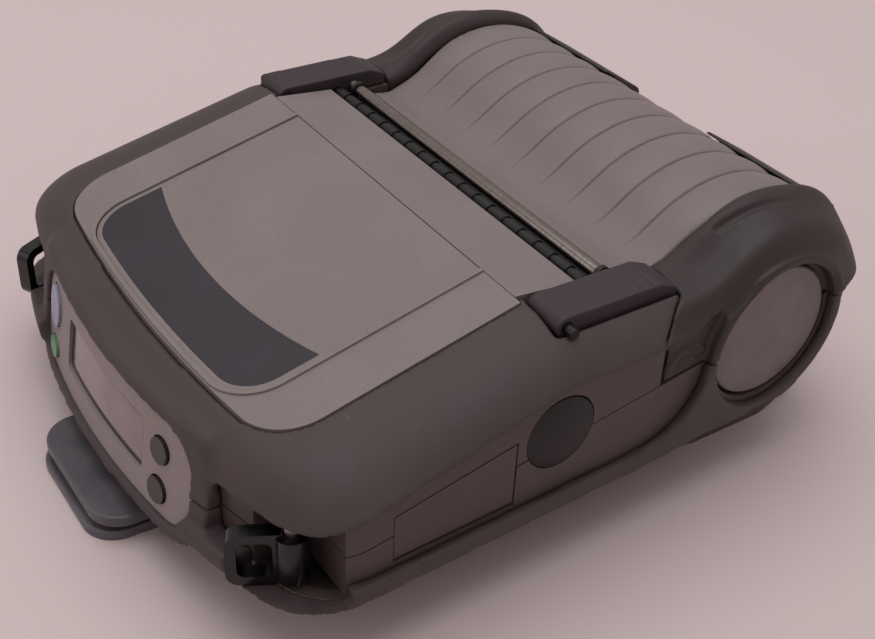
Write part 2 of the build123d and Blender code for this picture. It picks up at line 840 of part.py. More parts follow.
shell_inner = rod_along_x(-hump_half - 1, hump_half + 1, roll_y, roll_z, hump_radius - cover_wall)
barrel = rod_along_x(-hump_half, hump_half, hinge_y, hinge_z, hinge_barrel)
barrel_bore = rod_along_x(-hump_half - 1, hump_half + 1, hinge_y, hinge_z, hinge_pin + running_gap)
with BuildPart() as ear_gaps:
    for side in (-1, 1):
        for ear_x in (ear_inner, ear_outer):
            with BuildSketch(Plane.YZ.offset(side * ear_x - ear_thick / 2 - free_gap)):
                with Locations((hinge_y, hinge_z)):
                    Circle(hinge_barrel + free_gap)
                with Locations((hinge_y, hinge_z)):
                    Rectangle(2 * hinge_barrel, 12, align=(Align.CENTER, Align.MAX))
                with Locations((hinge_y, hinge_z)):
                    Rectangle(9, 2 * (hinge_barrel + free_gap), align=(Align.MIN, Align.CENTER))
            extrude(amount=ear_thick + 2 * free_gap)

with BuildPart() as cover_shell:
    add(hump_bands_form.part)
    add(apron_form.part)
    with BuildSketch(Plane.YZ.offset(-hump_half)):
        with BuildLine():
            Polyline(
                (0, 54.2), (shell_front, apron_front_z - 2), (roll_y - 23.5, 52), (roll_y - 24.5, 42),
                (0, 42), close=True,
            )
        make_face()
    extrude(amount=2 * hump_half, mode=Mode.SUBTRACT)
    with Locations((0, roll_y, hinge_z)):
        Box(200, 100, 100, align=(Align.CENTER, Align.CENTER, Align.MAX), mode=Mode.SUBTRACT)
    add(shell_inner, mode=Mode.SUBTRACT)
    add(barrel)
    add(ear_gaps.part, mode=Mode.SUBTRACT)
    add(barrel_bore, mode=Mode.SUBTRACT)
    for side in (-1, 1):
        with Locations((side * (slot_half - free_gap), 0, 50)):
            Box(5, 2 * (tower_back + free_gap), 30,
                align=(Align.MIN if side > 0 else Align.MAX, Align.CENTER, Align.CENTER), mode=Mode.SUBTRACT)
cover_shell.part.label = "cover_shell"
export_step(cover_shell.part, "parts/cover_shell.step")


def cheek_section(x, front_z, centre_y, centre_z, radius, inset):
    """Side profile of the cheek at one distance from the middle."""
    ring = [
        (centre_y + (radius - inset) * cos(radians(turn)), centre_z + (radius - inset) * sin(radians(turn)))
        for turn in (132, 104, 76, 48, 24, 0)
    ]
    with BuildSketch(Plane.YZ.offset(x)) as section:
        with BuildLine():
            Spline((cheek_front - 3, front_z - inset), (23, front_z - inset), *ring,
                   tangents=((1, 0), (0, -1)))
            Polyline(ring[-1], (ring[-1][0], 20), (cheek_front - 3, 20), (cheek_front - 3, front_z - inset))
        make_face()
    return section.sketch


def cheek_form(inset):
    """Cheek beside the hump: a crest rib, a groove and a rounded shoulder that falls to the lip."""
    with BuildPart() as form:
        add(cheek_section(hump_half + inset, 55.2, roll_y, roll_z, hump_radius + 0.2, inset))
        add(cheek_section(crest_x, 56.6, roll_y - 1.5, roll_z, crest_radius, inset))
        add(cheek_section(crest_x + 3.4, 56.8, roll_y - 1.5, roll_z + 1, crest_radius - 2.6, inset))
        add(cheek_section(tower_half, 56.4, roll_y - 2.5, roll_z + 2, crest_radius - 4.7, inset))
        add(cheek_section(lip_half - 4.5, 54.2, roll_y - 3.4, disc_z - 2.5, ring_outer + 4.6, inset))
        add(cheek_section(lip_half + 0.6, 49.9, disc_y, disc_z, ring_outer - 0.6, inset))
        loft()
    return form.part


cheek_outer = cheek_form(0)
cheek_hollow = cheek_form(cover_wall)
with BuildPart(side_plane(0)) as outside_lip:
    Box(400, 300, 30, align=(Align.CENTER, Align.CENTER, Align.MIN))
with BuildPart(side_plane(wall_recess + cover_wall)) as outside_wall:
    Box(400, 300, 30, align=(Align.CENTER, Align.CENTER, Align.MIN))

with BuildPart() as recess_cut:
    with BuildSketch(side_plane(recess_deep)):
        with Locations((disc_y, disc_z)):
            Circle(ring_inner)
    extrude(amount=20)
with BuildSketch() as under_lip_shape:
    with BuildLine():
        Polyline((0, 30), (0, 48.2), (29, 49.9), (disc_y - 18, 52), (disc_y - 22, 30), close=True)
    make_face()
    with Locations((disc_y, disc_z)):
        Circle(ring_outer, mode=Mode.SUBTRACT)
under_lip = side_prism(under_lip_shape.sketch, -10, wall_recess)

with BuildPart() as lobe:
    with BuildSketch(Plane.YZ.offset(lobe_inner)):
        with Locations((disc_y, disc_z)):
            Circle(disc_radius + 0.4)
    extrude(amount=lobe_thick)
with BuildPart() as disc_seat:
    with BuildSketch(Plane.YZ.offset(lobe_inner + lobe_thick)):
        with Locations((disc_y, disc_z)):
            Circle(disc_radius + 0.2)
    extrude(amount=12)

with BuildPart() as cheek_room:
    add(cheek_hollow)
    add(outside_wall.part, mode=Mode.SUBTRACT)

bay_bore = rod_along_x(0, bay_half + free_gap, roll_y, roll_z, hump_radius - cover_wall)

with BuildPart() as cover_cheek_right:
    add(cheek_outer)
    add(outside_lip.part, mode=Mode.SUBTRACT)
    add(cheek_room.part, mode=Mode.SUBTRACT)
    add(recess_cut.part, mode=Mode.SUBTRACT)
    add(under_lip, mode=Mode.SUBTRACT)
    with BuildPart(mode=Mode.PRIVATE) as inner_wall:
        with BuildSketch(Plane.YZ.offset(bay_half + free_gap)):
            with Locations((roll_y, roll_z)):
                Circle(hump_radius - 0.5)
        extrude(amount=1.8)
    add(bay_bore, mode=Mode.SUBTRACT)
    add(inner_wall.part)
    with BuildPart(mode=Mode.PRIVATE) as plate:
        with BuildSketch(Plane.YZ.offset(lobe_inner)):
            with Locations((disc_y, disc_z)):
                Circle(ring_outer - 1.5)
        extrude(amount=lobe_thick)
    add(plate.part)
    add(upper_region.part, mode=Mode.INTERSECT)
    add(lobe.part)
    add(disc_seat.part, mode=Mode.SUBTRACT)
    with BuildPart(mode=Mode.PRIVATE) as cheek_zone:
        add(cheek_side.part.moved(Location((0, free_gap, 0))))
    add(cheek_zone.part, mode=Mode.INTERSECT)
    Box(2 * (hump_half + 0.01), 300, 300, mode=Mode.SUBTRACT)
cover_cheek_right.part.label = "cover_cheek_right"
export_step(cover_cheek_right.part, "parts/cover_cheek_right.step")

with BuildPart() as cover_cheek_left:
    mirror(cover_cheek_right.part, about=Plane.YZ)
cover_cheek_left.part.label = "cover_cheek_left"
export_step(cover_cheek_left.part, "parts/cover_cheek_left.step")

# Domed end disc in each cheek
with BuildPart() as end_disc_right:
    with BuildSketch(Plane.YZ.offset(lobe_inner + lobe_thick)):
        with Locations((disc_y, disc_z)):
            Circle(disc_radius)
    extrude(amount=disc_thick)
    fillet(end_disc_right.edges().sort_by(Axis.X)[-1], 0.6)
end_disc_right.part.label = "end_disc_right"
export_step(end_disc_right.part, "parts/end_disc_right.step")
with BuildPart() as end_disc_left:
    mirror(end_disc_right.part, about=Plane.YZ)
end_disc_left.part.label = "end_disc_left"
export_step(end_disc_left.part, "parts/end_disc_left.step")

# Dark tabs over the hinge, seated on the hump's bands
tab_y = roll_y + hump_radius
tab_z = roll_z + hump_radius
tab_round = rod_along_x(-hump_half, hump_half, roll_y, roll_z, hump_radius + 0.02)
with BuildPart() as hinge_tab_right:
    with BuildSketch(Plane.YZ.offset(tab_inner)):
        with BuildLine():
            Polyline(
                (tab_y - 17.5, tab_z - 6), (tab_y - 16, tab_z - 4.2), (tab_y - 3, tab_z - 12.5),
                (tab_y - 1.9, tab_z - 18.5), (tab_y - 8.5, tab_z - 16), (tab_y - 17.5, tab_z - 8),
                close=True,
            )
        make_face()
    extrude(amount=tab_outer - tab_inner)
    fillet(hinge_tab_right.edges().filter_by(Axis.X).sort_by(Axis.Y)[-2:], 1.5)
    add(tab_round, mode=Mode.SUBTRACT)
hinge_tab_right.part.label = "hinge_tab_right"
export_step(hinge_tab_right.part, "parts/hinge_tab_right.step")
with BuildPart() as hinge_tab_left:
    mirror(hinge_tab_right.part, about=Plane.YZ)
hinge_tab_left.part.label = "hinge_tab_left"
export_step(hinge_tab_left.part, "parts/hinge_tab_left.step")

# Two steel pins through the ears and the cover's barrel
with BuildPart() as hinge_pins:
    add(rod_along_x(ear_inner - 6, ear_outer + ear_thick / 2, hinge_y, hinge_z, hinge_pin))
    mirror(about=Plane.YZ)
hinge_pins.part.label = "hinge_pins"
export_step(hinge_pins.part, "parts/hinge_pins.step")

# Carrier under the apron with the platen's bearings and the seats of the tear bar
plate_right = slot_half - 0.4
plate_left = 51.0
with BuildSketch() as carrier_plate:
    with Locations((platen_y, platen_z)):
        Circle(4.2)
    with Locations((rod_y, rod_z)):
        Circle(2.3)
    with BuildLine():
        Polyline(
            (platen_y - 0.6, platen_z), (rod_y - 2.1, rod_z), (shell_front - 0.4, rod_z), (20, 53),
            (25, 53), (25, 46), (platen_y + 2, platen_z - 4), close=True,
        )
    make_face()
with BuildPart() as roller_carrier:
    with BuildSketch(Plane.YZ.offset(-plate_left)):
        add(carrier_plate.sketch)
    extrude(amount=1.2)
    with BuildSketch(Plane.YZ.offset(plate_right - 1.2)):
        add(carrier_plate.sketch)
    extrude(amount=1.2)
    with BuildSketch(Plane.YZ.offset(-plate_left)):
        with BuildLine():
            Polyline((21.2, 56), (25, 56), (25, 46), (21.2, 47), close=True)
        make_face()
    extrude(amount=plate_left + plate_right)
    add(cover_shell.part, mode=Mode.SUBTRACT)
    with BuildPart(mode=Mode.PRIVATE) as above_apron:
        with BuildSketch(Plane.YZ.offset(-60)):
            with BuildLine():
                Polyline(
                    (shell_front, apron_front_z - 1), (30, apron_back_z - 1), (30, 70),
                    (shell_front, 70), close=True,
                )
            make_face()
        extrude(amount=120)
    add(above_apron.part, mode=Mode.SUBTRACT)
    add(rod_along_x(-60, 60, platen_y, platen_z, shaft_radius + running_gap), mode=Mode.SUBTRACT)
    add(rod_along_x(-60, 60, rod_y, rod_z, rod_radius), mode=Mode.SUBTRACT)
roller_carrier.part.label = "roller_carrier"
export_step(roller_carrier.part, "parts/roller_carrier.step")

with BuildPart() as tear_bar:
    add(rod_along_x(-plate_left - 2, plate_right, rod_y, rod_z, rod_radius))
tear_bar.part.label = "tear_bar"
export_step(tear_bar.part, "parts/tear_bar.step")

with BuildPart() as platen_shaft:
    add(rod_along_x(gear_left, plate_right, platen_y, platen_z, shaft_radius))
platen_shaft.part.label = "platen_shaft"
export_step(platen_shaft.part, "parts/platen_shaft.step")
with BuildPart() as platen_roller:
    add(rod_along_x(0.4 - plate_left + 1.2, plate_right - 1.6, platen_y, platen_z, platen_radius))
    add(rod_along_x(-60, 60, platen_y, platen_z, shaft_radius), mode=Mode.SUBTRACT)
platen_roller.part.label = "platen_roller"
export_step(platen_roller.part, "parts/platen_roller.step")

# Gear train on the left: motor pinion, idler and platen gear
lift_dy = hinge_z - platen_z
lift_dz = hinge_y - platen_y
lift_length = sqrt(lift_dy**2 + lift_dz**2)
idler_apart = gear_module * (platen_teeth + idler_teeth) / 2 + mesh_gap
idler_y = platen_y + lift_dy / lift_length * idler_apart
idler_z = platen_z - lift_dz / lift_length * idler_apart
motor_apart = gear_module * (pinion_teeth + idler_teeth) / 2 + mesh_gap
motor_y = idler_y - motor_apart * cos(radians(motor_turn))
motor_z = idler_z - motor_apart * sin(radians(motor_turn))

line_turn = degrees(atan2(platen_z - idler_z, platen_y - idler_y))
motor_line = 180 + motor_turn
idler_phase = line_turn
idler_step = 360 / idler_teeth
slip = (motor_line - idler_phase) / idler_step
pinion_phase = motor_line + 180 + (slip - round(slip) + 0.5) * 360 / pinion_teeth
with BuildPart() as platen_gear:
    with Locations((gear_left, platen_y, platen_z)):
        add(gear(platen_teeth, gear_module, shaft_radius, gear_wide,
                 line_turn + 180 + 180 / platen_teeth))
platen_gear.part.label = "platen_gear"
export_step(platen_gear.part, "parts/platen_gear.step")
with BuildPart() as idler_gear:
    with Locations((gear_left, idler_y, idler_z)):
        add(gear(idler_teeth, gear_module, shaft_radius + running_gap, gear_wide, idler_phase))
idler_gear.part.label = "idler_gear"
export_step(idler_gear.part, "parts/idler_gear.step")
with BuildPart() as motor_pinion:
    with Locations((gear_left, motor_y, motor_z)):
        add(gear(pinion_teeth, gear_module, 1.0, gear_wide, pinion_phase))
    add(rod_along_x(gear_left, motor_face + 3, motor_y, motor_z, 1.0))
motor_pinion.part.label = "motor_pinion"
export_step(motor_pinion.part, "parts/motor_pinion.step")

# Steel plate that carries the idler's axle and the motor, standing on the case floor
with BuildPart() as gear_plate:
    with BuildSketch(Plane.YZ.offset(plate_x)):
        with BuildLine():
            Polyline(
                (motor_y - 11, belly_z + wall), (22, belly_z + wall), (22, 42.4), (motor_y - 11, 42.4),
                close=True,
            )
        make_face()
        with Locations((motor_y, motor_z)):
            Circle(1.6, mode=Mode.SUBTRACT)
    extrude(amount=1.4)
    add(tub_space, mode=Mode.SUBTRACT)
    with Locations((plate_x, 6, belly_z + wall)):
        Box(6, 20, 1.4, align=(Align.MAX, Align.CENTER, Align.MIN))
gear_plate.part.label = "gear_plate"
export_step(gear_plate.part, "parts/gear_plate.step")
with BuildPart() as idler_axle:
    add(rod_along_x(gear_left - 0.2, plate_x, idler_y, idler_z, shaft_radius))
idler_axle.part.label = "idler_axle"
export_step(idler_axle.part, "parts/idler_axle.step")
with BuildPart() as drive_motor:
    add(rod_along_x(motor_face, motor_face + motor_long, motor_y, motor_z, motor_radius))
    add(rod_along_x(motor_face - 1, motor_face + 4, motor_y, motor_z, 1.0 + running_gap),
        mode=Mode.SUBTRACT)
drive_motor.part.label = "drive_motor"
export_step(drive_motor.part, "parts/drive_motor.step")

# Thermal print head on its finned heat sink, pressed by two springs from the bridge
with BuildPart() as printhead:
    with Locations((0, platen_y - platen_radius - free_gap - head_thick / 2, head_mid_z)):
        Box(2 * head_half, head_thick, head_tall)
printhead.part.label = "printhead"
export_step(printhead.part, "parts/printhead.step")
sink_front = platen_y - platen_radius - free_gap - head_thick
with BuildPart() as printhead_heatsink:
    with Locations((0, sink_front - 1.25, head_mid_z)):
        Box(2 * head_half, 2.5, head_tall)
    with Locations((0, sink_front - 2.5, head_mid_z)):
        with GridLocations(8, 1, 12, 1):
            Box(1.6, 4, head_tall, align=(Align.CENTER, Align.MAX, Align.CENTER))
    with Locations((0, sink_front, head_mid_z + head_tall / 2 - 1)):
        Box(2 * head_half, 8.2, 2, align=(Align.CENTER, Align.MAX, Align.CENTER))
printhead_heatsink.part.label = "printhead_heatsink"
export_step(printhead_heatsink.part, "parts/printhead_heatsink.step")

# Black ribbed guide under the light strip
with BuildPart() as slot_guide:
    with Locations((0, strip_back - 3.4, strip_back_z - 2.0)):
        Box(2 * strip_half - 2, 3.2, 0.7)
slot_guide.part.label = "slot_guide"
export_step(slot_guide.part, "parts/slot_guide.step")

# Two coil springs press the head against the platen
sink_back = sink_front - 6.5
spring_long = sink_back - ridge_y - bridge_thick
with BuildPart() as spring_form:
    with BuildLine():
        coil = Helix(pitch=spring_long / 5, height=spring_long - 2 * spring_wire, radius=spring_radius)
    with BuildSketch(Plane(coil @ 0, z_dir=coil % 0)):
        Circle(spring_wire)
    sweep(is_frenet=True)
with BuildPart() as head_springs:
    for x in (-30, 30):
        spring_seat = Location((x, ridge_y + bridge_thick + spring_wire, head_mid_z), (-90, 0, 0))
        add(spring_form.part.moved(spring_seat))
head_springs.part.label = "head_springs"
export_step(head_springs.part, "parts/head_springs.step")

# Peeler bail: two arms on the towers, joined by the bar of the small roller
with BuildPart() as bail_arm_right:
    with BuildSketch(Plane.YZ.offset(arm_inner)):
        with BuildLine():
            Polyline(
                (arm_pivot_y, arm_pivot_z - arm_nose), (arm_rear, arm_pivot_z - arm_nose + 0.1),
                (arm_rear, arm_pivot_z + 0.2), (arm_rear - 5, arm_pivot_z + arm_nose - 0.4),
                (arm_pivot_y, arm_pivot_z + arm_nose), close=True,
            )
        make_face()
        with Locations((arm_pivot_y, arm_pivot_z)):
            Circle(arm_nose)
    extrude(amount=arm_outer - arm_inner)
    with Locations([(arm_outer - 4.5, arm_rear - place, arm_pivot_z + arm_nose - 0.8)
                    for place in (7.5, 10.5)]):
        Box(7, 1.2, 1.6)
    add(rod_along_x(40, 80, arm_pivot_y, arm_pivot_z, bail_pin + running_gap), mode=Mode.SUBTRACT)
    add(rod_along_x(40, arm_inner + 4, bail_roller_y, bail_roller_z, bail_bar_radius), mode=Mode.SUBTRACT)
bail_arm_right.part.label = "bail_arm_right"
export_step(bail_arm_right.part, "parts/bail_arm_right.step")
with BuildPart() as bail_arm_left:
    mirror(bail_arm_right.part, about=Plane.YZ)
bail_arm_left.part.label = "bail_arm_left"
export_step(bail_arm_left.part, "parts/bail_arm_left.step")
with BuildPart() as bail_bar:
    add(rod_along_x(-arm_inner - 4, arm_inner + 4, bail_roller_y, bail_roller_z, bail_bar_radius))
bail_bar.part.label = "bail_bar"
export_step(bail_bar.part, "parts/bail_bar.step")
with BuildPart() as bail_roller:
    add(rod_along_x(-52, 52, bail_roller_y, bail_roller_z, bail_roller_radius))
    with Locations([(x, bail_roller_y, bail_roller_z) for x in range(-48, 49, 6)]):
        Cylinder(bail_roller_radius + 1, 1.2, rotation=(0, 90, 0), mode=Mode.SUBTRACT)
    add(rod_along_x(-53, 53, bail_roller_y, bail_roller_z, bail_roller_radius - 0.35))
    add(rod_along_x(-60, 60, bail_roller_y, bail_roller_z, bail_bar_radius + running_gap), mode=Mode.SUBTRACT)
bail_roller.part.label = "bail_roller"
export_step(bail_roller.part, "parts/bail_roller.step")
with BuildPart() as bail_pins:
    add(rod_along_x(arm_inner - 0.5, tower_half + 2, arm_pivot_y, arm_pivot_z, bail_pin))
    mirror(about=Plane.YZ)
bail_pins.part.label = "bail_pins"
export_step(bail_pins.part, "parts/bail_pins.step")

# Front panel with the display and its buttons, set back under the brow
with BuildPart() as bezel_block:
    with BuildSketch(Plane.XY.offset(brow_low - 2)):
        add(body_outline(Plane.XY, rim_half, rim_front + bezel_back, rim_bow, rim_corner, -50, 0))
    extrude(amount=40, dir=(0, tan(radians(face_lean)), 1))
with BuildPart() as front_bezel:
    with BuildSketch(Plane.XZ.offset(50)):
        with Locations((0, (hole_low + hole_high) / 2)):
            RectangleRounded(2 * hole_half - 0.2, hole_high - hole_low - 0.2, hole_corner - 0.1)
    extrude(amount=60)
    add(bezel_block.part, mode=Mode.INTERSECT)
    add(bezel_block.part.moved(Location((0, bezel_thick, 0))), mode=Mode.SUBTRACT)
    with BuildSketch(Plane.XZ.offset(50)):
        with Locations(((window_low[0] + window_high[0]) / 2, (window_low[1] + window_high[1]) / 2)):
            RectangleRounded(window_high[0] - window_low[0], window_high[1] - window_low[1], 1.5)
        with Locations(power_at):
            Ellipse(power_size[0] + free_gap, power_size[1] + free_gap)
        with Locations(feed_at):
            Ellipse(feed_size[0] + free_gap, feed_size[1] + free_gap)
        with Locations([(menu_x, height) for height in menu_z]):
            Circle(menu_radius + free_gap)
    extrude(amount=60, mode=Mode.SUBTRACT)
front_bezel.part.label = "front_bezel"
export_step(front_bezel.part, "parts/front_bezel.step")

with BuildPart() as display_window:
    with BuildSketch(Plane.XZ.offset(50)):
        with Locations(((window_low[0] + window_high[0]) / 2, (window_low[1] + window_high[1]) / 2)):
            RectangleRounded(window_high[0] - window_low[0], window_high[1] - window_low[1], 1.5)
    extrude(amount=60)
    add(bezel_block.part.moved(Location((0, 0.8, 0))), mode=Mode.INTERSECT)
    add(bezel_block.part.moved(Location((0, bezel_thick, 0))), mode=Mode.SUBTRACT)
display_window.part.label = "display_window"
export_step(display_window.part, "parts/display_window.step")

board_y = rim_front + 13.7
with BuildPart() as display_module:
    with Locations(((window_low[0] + window_high[0]) / 2, board_y - board_thick / 2,
                    (window_low[1] + window_high[1]) / 2)):
        Box(window_high[0] - window_low[0] + 2, 4.4, window_high[1] - window_low[1] + 2,
            align=(Align.CENTER, Align.MAX, Align.CENTER))
    add(bezel_block.part.moved(Location((0, bezel_thick, 0))), mode=Mode.INTERSECT)
display_module.part.label = "display_module"
export_step(display_module.part, "parts/display_module.step")
with BuildPart() as front_board:
    with Locations((0, board_y, (hole_low + hole_high) / 2)):
        Box(2 * hole_half - 4, board_thick, hole_high - hole_low - 7)
front_board.part.label = "front_board"
export_step(front_board.part, "parts/front_board.step")


def button_part(place, half_wide, half_tall):
    """A front button with its flange behind the bezel."""
    with BuildPart() as button:
        with BuildSketch(Plane.XZ.offset(60)):
            with Locations(place):
                Ellipse(half_wide, half_tall)
        extrude(amount=40)
        add(bezel_block.part.moved(Location((0, -0.7, 0))), mode=Mode.INTERSECT)
        with BuildPart(mode=Mode.PRIVATE) as flange:
            with BuildSketch(Plane.XZ.offset(60)):
                with Locations(place):
                    Ellipse(half_wide + 0.9, half_tall + 0.9)
            extrude(amount=40)
            add(bezel_block.part.moved(Location((0, bezel_thick + 0.1, 0))), mode=Mode.INTERSECT)
        add(flange.part)
        with Locations((place[0], board_y - board_thick / 2 - button_gap, place[1])):
            Box(30, 60, 30, align=(Align.CENTER, Align.MIN, Align.CENTER), mode=Mode.SUBTRACT)
    return button.part


with BuildPart() as power_button:
    add(button_part(power_at, power_size[0], power_size[1]))
power_button.part.label = "power_button"
export_step(power_button.part, "parts/power_button.step")
with BuildPart() as feed_button:
    add(button_part(feed_at, feed_size[0], feed_size[1]))
feed_button.part.label = "feed_button"
export_step(feed_button.part, "parts/feed_button.step")
with BuildPart() as menu_button_upper:
    add(button_part((menu_x, menu_z[0]), menu_radius, menu_radius))
menu_button_upper.part.label = "menu_button_upper"
export_step(menu_button_upper.part, "parts/menu_button_upper.step")
with BuildPart() as menu_button_lower:
    add(button_part((menu_x, menu_z[1]), menu_radius, menu_radius))
menu_button_lower.part.label = "menu_button_lower"
export_step(menu_button_lower.part, "parts/menu_button_lower.step")

# Main board with the two sockets behind the side door, and the battery
with BuildPart() as main_board:
    with Locations((0, (board_back + board_front) / 2, board_z)):
        Box(2 * board_half, board_back - board_front, board_thick,
            align=(Align.CENTER, Align.CENTER, Align.MIN))
    with Locations((-10, -40, board_z + board_thick)):
        Box(16, 16, 1.8, align=(Align.CENTER, Align.CENTER, Align.MIN))
    with Locations((20, -30, board_z + board_thick)):
        Box(12, 8, 1.4, align=(Align.CENTER, Align.CENTER, Align.MIN))
    with Locations([(x, y, board_z) for x, y in screw_places]):
        Cylinder(post_wide + 0.4, 10, mode=Mode.SUBTRACT)
main_board.part.label = "main_board"
export_step(main_board.part, "parts/main_board.step")
with BuildPart() as data_port:
    with Locations((board_half - 2, door_y[0] + 9, board_z + board_thick)):
        Box(12, 12, 5.5, align=(Align.MIN, Align.CENTER, Align.MIN))
    with Locations((board_half + 10, door_y[0] + 9, board_z + 4.3)):
        Box(7, 9.4, 3, align=(Align.MAX, Align.CENTER, Align.CENTER), mode=Mode.SUBTRACT)
data_port.part.label = "data_port"
export_step(data_port.part, "parts/data_port.step")
with BuildPart() as power_port:
    with Locations((board_half - 2, door_y[1] - 7, board_z + board_thick)):
        Box(12, 9, 7, align=(Align.MIN, Align.CENTER, Align.MIN))
    add(rod_along_x(board_half + 1, board_half + 11, door_y[1] - 7, board_z + 5.1, 2.6), mode=Mode.SUBTRACT)
power_port.part.label = "power_port"
export_step(power_port.part, "parts/power_port.step")
with BuildPart() as battery_pack:
    with Locations((battery_x, battery_y, belly_z)):
        Box(battery_wide, battery_long, battery_tall, align=(Align.CENTER, Align.CENTER, Align.MIN))
    fillet(battery_pack.edges().filter_by(Axis.Z), 1.5)
battery_pack.part.label = "battery_pack"
export_step(battery_pack.part, "parts/battery_pack.step")
with BuildPart() as battery_contacts:
    with Locations((battery_x + 20, battery_y + 6, belly_z + battery_tall)):
        Box(14, 6, board_z - belly_z - battery_tall, align=(Align.CENTER, Align.CENTER, Align.MIN))
battery_contacts.part.label = "battery_contacts"
export_step(battery_contacts.part, "parts/battery_contacts.step")

# Right side: the door over the sockets and the cover's release button
with BuildPart() as port_cover:
    add(side_prism(door_shape.sketch, wall_recess, wall_recess + door_thick))
    fillet(port_cover.edges().group_by(Axis.Z)[0].filter_by(lambda edge: edge.length > 10), 1.05)
    add(door_pin_form.part)
port_cover.part.label = "port_cover"
export_step(port_cover.part, "parts/port_cover.step")

dome_radius = (button_radius**2 + button_dome**2) / (2 * button_dome)
with BuildPart() as release_button:
    with BuildSketch(side_plane(wall_recess + 3)):
        with Locations((button_y, button_z)):
            Circle(button_radius)
    extrude(amount=3 + button_dome)
    with Locations(side_plane(wall_recess + dome_radius - button_dome)):
        with Locations((button_y, button_z)):
            Sphere(dome_radius, mode=Mode.INTERSECT)
    with BuildSketch(side_plane(wall_recess + 3)):
        with Locations((button_y, button_z)):
            Circle(button_radius + 1.2)
    extrude(amount=-1.5)
release_button.part.label = "release_button"
export_step(release_button.part, "parts/release_button.step")

# Strap eyelets that swing on steel posts in the front corners
with BuildPart() as strap_posts:
    with Locations((post_x, post_y, rim_bottom + 0.2)):
        Cylinder(post_radius, post_tall, align=(Align.CENTER, Align.CENTER, Align.MIN))
    mirror(about=Plane.YZ)
strap_posts.part.label = "strap_posts"
export_step(strap_posts.part, "parts/strap_posts.step")

eyelet_plane = Plane(
    origin=(post_x, post_y, eyelet_low),
    x_dir=(-sin(radians(eyelet_turn)), -cos(radians(eyelet_turn)), 0),
    z_dir=(-cos(radians(eyelet_turn)), sin(radians(eyelet_turn)), 0),
)
with BuildPart() as strap_eyelet_right:
    with BuildSketch(eyelet_plane.offset(-eyelet_thick / 2)):
        RectangleRounded(eyelet_long, eyelet_tall, 3, align=(Align.MIN, Align.MIN))
    extrude(amount=eyelet_thick)
    with Locations((post_x, post_y, eyelet_low + 1)):
        Cylinder(post_radius + 1.6, eyelet_tall - 2, align=(Align.CENTER, Align.CENTER, Align.MIN))
    with BuildSketch(eyelet_plane.offset(-5)):
        with Locations((post_radius + 1.8, eyelet_bar)):
            RectangleRounded(eyelet_long - post_radius - 1.8 - eyelet_bar, eyelet_tall - 2 * eyelet_bar, 1.8,
                             align=(Align.MIN, Align.MIN))
    extrude(amount=10, mode=Mode.SUBTRACT)
    with Locations((post_x, post_y, 0)):
        Cylinder(post_radius + running_gap, 100, mode=Mode.SUBTRACT)
strap_eyelet_right.part.label = "strap_eyelet_right"
export_step(strap_eyelet_right.part, "parts/strap_eyelet_right.step")
with BuildPart() as strap_eyelet_left:
    mirror(strap_eyelet_right.part, about=Plane.YZ)
strap_eyelet_left.part.label = "strap_eyelet_left"
export_step(strap_eyelet_left.part, "parts/strap_eyelet_left.step")

# Belt clip: an upper arm that swivels on a stud, with a hinged jaw under it
def clip_outline(inset, tip):
    with BuildSketch() as outline:
        with Locations((0, clip_y)):
            Circle(clip_radius - inset)
        with BuildLine():
            Polyline((-clip_radius + inset, clip_y), (-clip_tip_half + inset, tip + 10),
                     (clip_tip_half - inset, tip + 10), (clip_radius - inset, clip_y), close=True)
        make_face()
        with Locations((0, tip + 10)):
            RectangleRounded(2 * (clip_tip_half - inset), 20, 8)
    return outline.sketch


clip_upper_outline = clip_outline(0, clip_tip + 1.2)
clip_lower_outline = clip_outline(1.0, clip_tip)
clip_pin_y = clip_tip + 4.6
clip_pin_z = clip_upper_z - 0.9
clip_pin_bore = rod_along_x(-13, 13, clip_pin_y, clip_pin_z, clip_pin + running_gap)
with BuildPart() as belt_clip:
    with BuildSketch(Plane.XY.offset(clip_upper_z)):
        add(clip_upper_outline)
    extrude(amount=clip_upper_thick)
    fillet(belt_clip.faces().sort_by(Axis.Z)[-1].edges(), 0.7)
    with Locations((0, clip_y, clip_upper_z)):
        Cylinder(clip_stud, belly_z + wall + 1.8 - clip_upper_z,
                 align=(Align.CENTER, Align.CENTER, Align.MIN))
    with Locations((0, clip_y, belly_z + wall + free_gap)):
        Cylinder(clip_stud + 2, 1.5, align=(Align.CENTER, Align.CENTER, Align.MIN))
    add(rod_along_x(-13, 13, clip_pin_y, clip_pin_z, clip_knuckle))
    add(rod_along_x(-8.3, 8.3, clip_pin_y, clip_pin_z, clip_knuckle + free_gap), mode=Mode.SUBTRACT)
    add(clip_pin_bore, mode=Mode.SUBTRACT)
belt_clip.part.label = "belt_clip"
export_step(belt_clip.part, "parts/belt_clip.step")
with BuildPart() as clip_jaw:
    with BuildSketch(Plane.XY):
        add(clip_lower_outline)
    extrude(amount=clip_jaw_thick)
    fillet(clip_jaw.faces().sort_by(Axis.Z)[-1].edges(), 0.7)
    add(rod_along_x(-13.3, 13.3, clip_pin_y, clip_pin_z, clip_knuckle + free_gap), mode=Mode.SUBTRACT)
    add(rod_along_x(-8, 8, clip_pin_y, clip_pin_z, clip_knuckle))
    with Locations((0, clip_pin_y, 0)):
        Box(16, 5, clip_pin_z, align=(Align.CENTER, Align.CENTER, Align.MIN))
    add(clip_pin_bore, mode=Mode.SUBTRACT)
clip_jaw.part.label = "clip_jaw"
export_step(clip_jaw.part, "parts/clip_jaw.step")
with BuildPart() as clip_hinge_pin:
    add(rod_along_x(-13, 13, clip_pin_y, clip_pin_z, clip_pin))
clip_hinge_pin.part.label = "clip_hinge_pin"
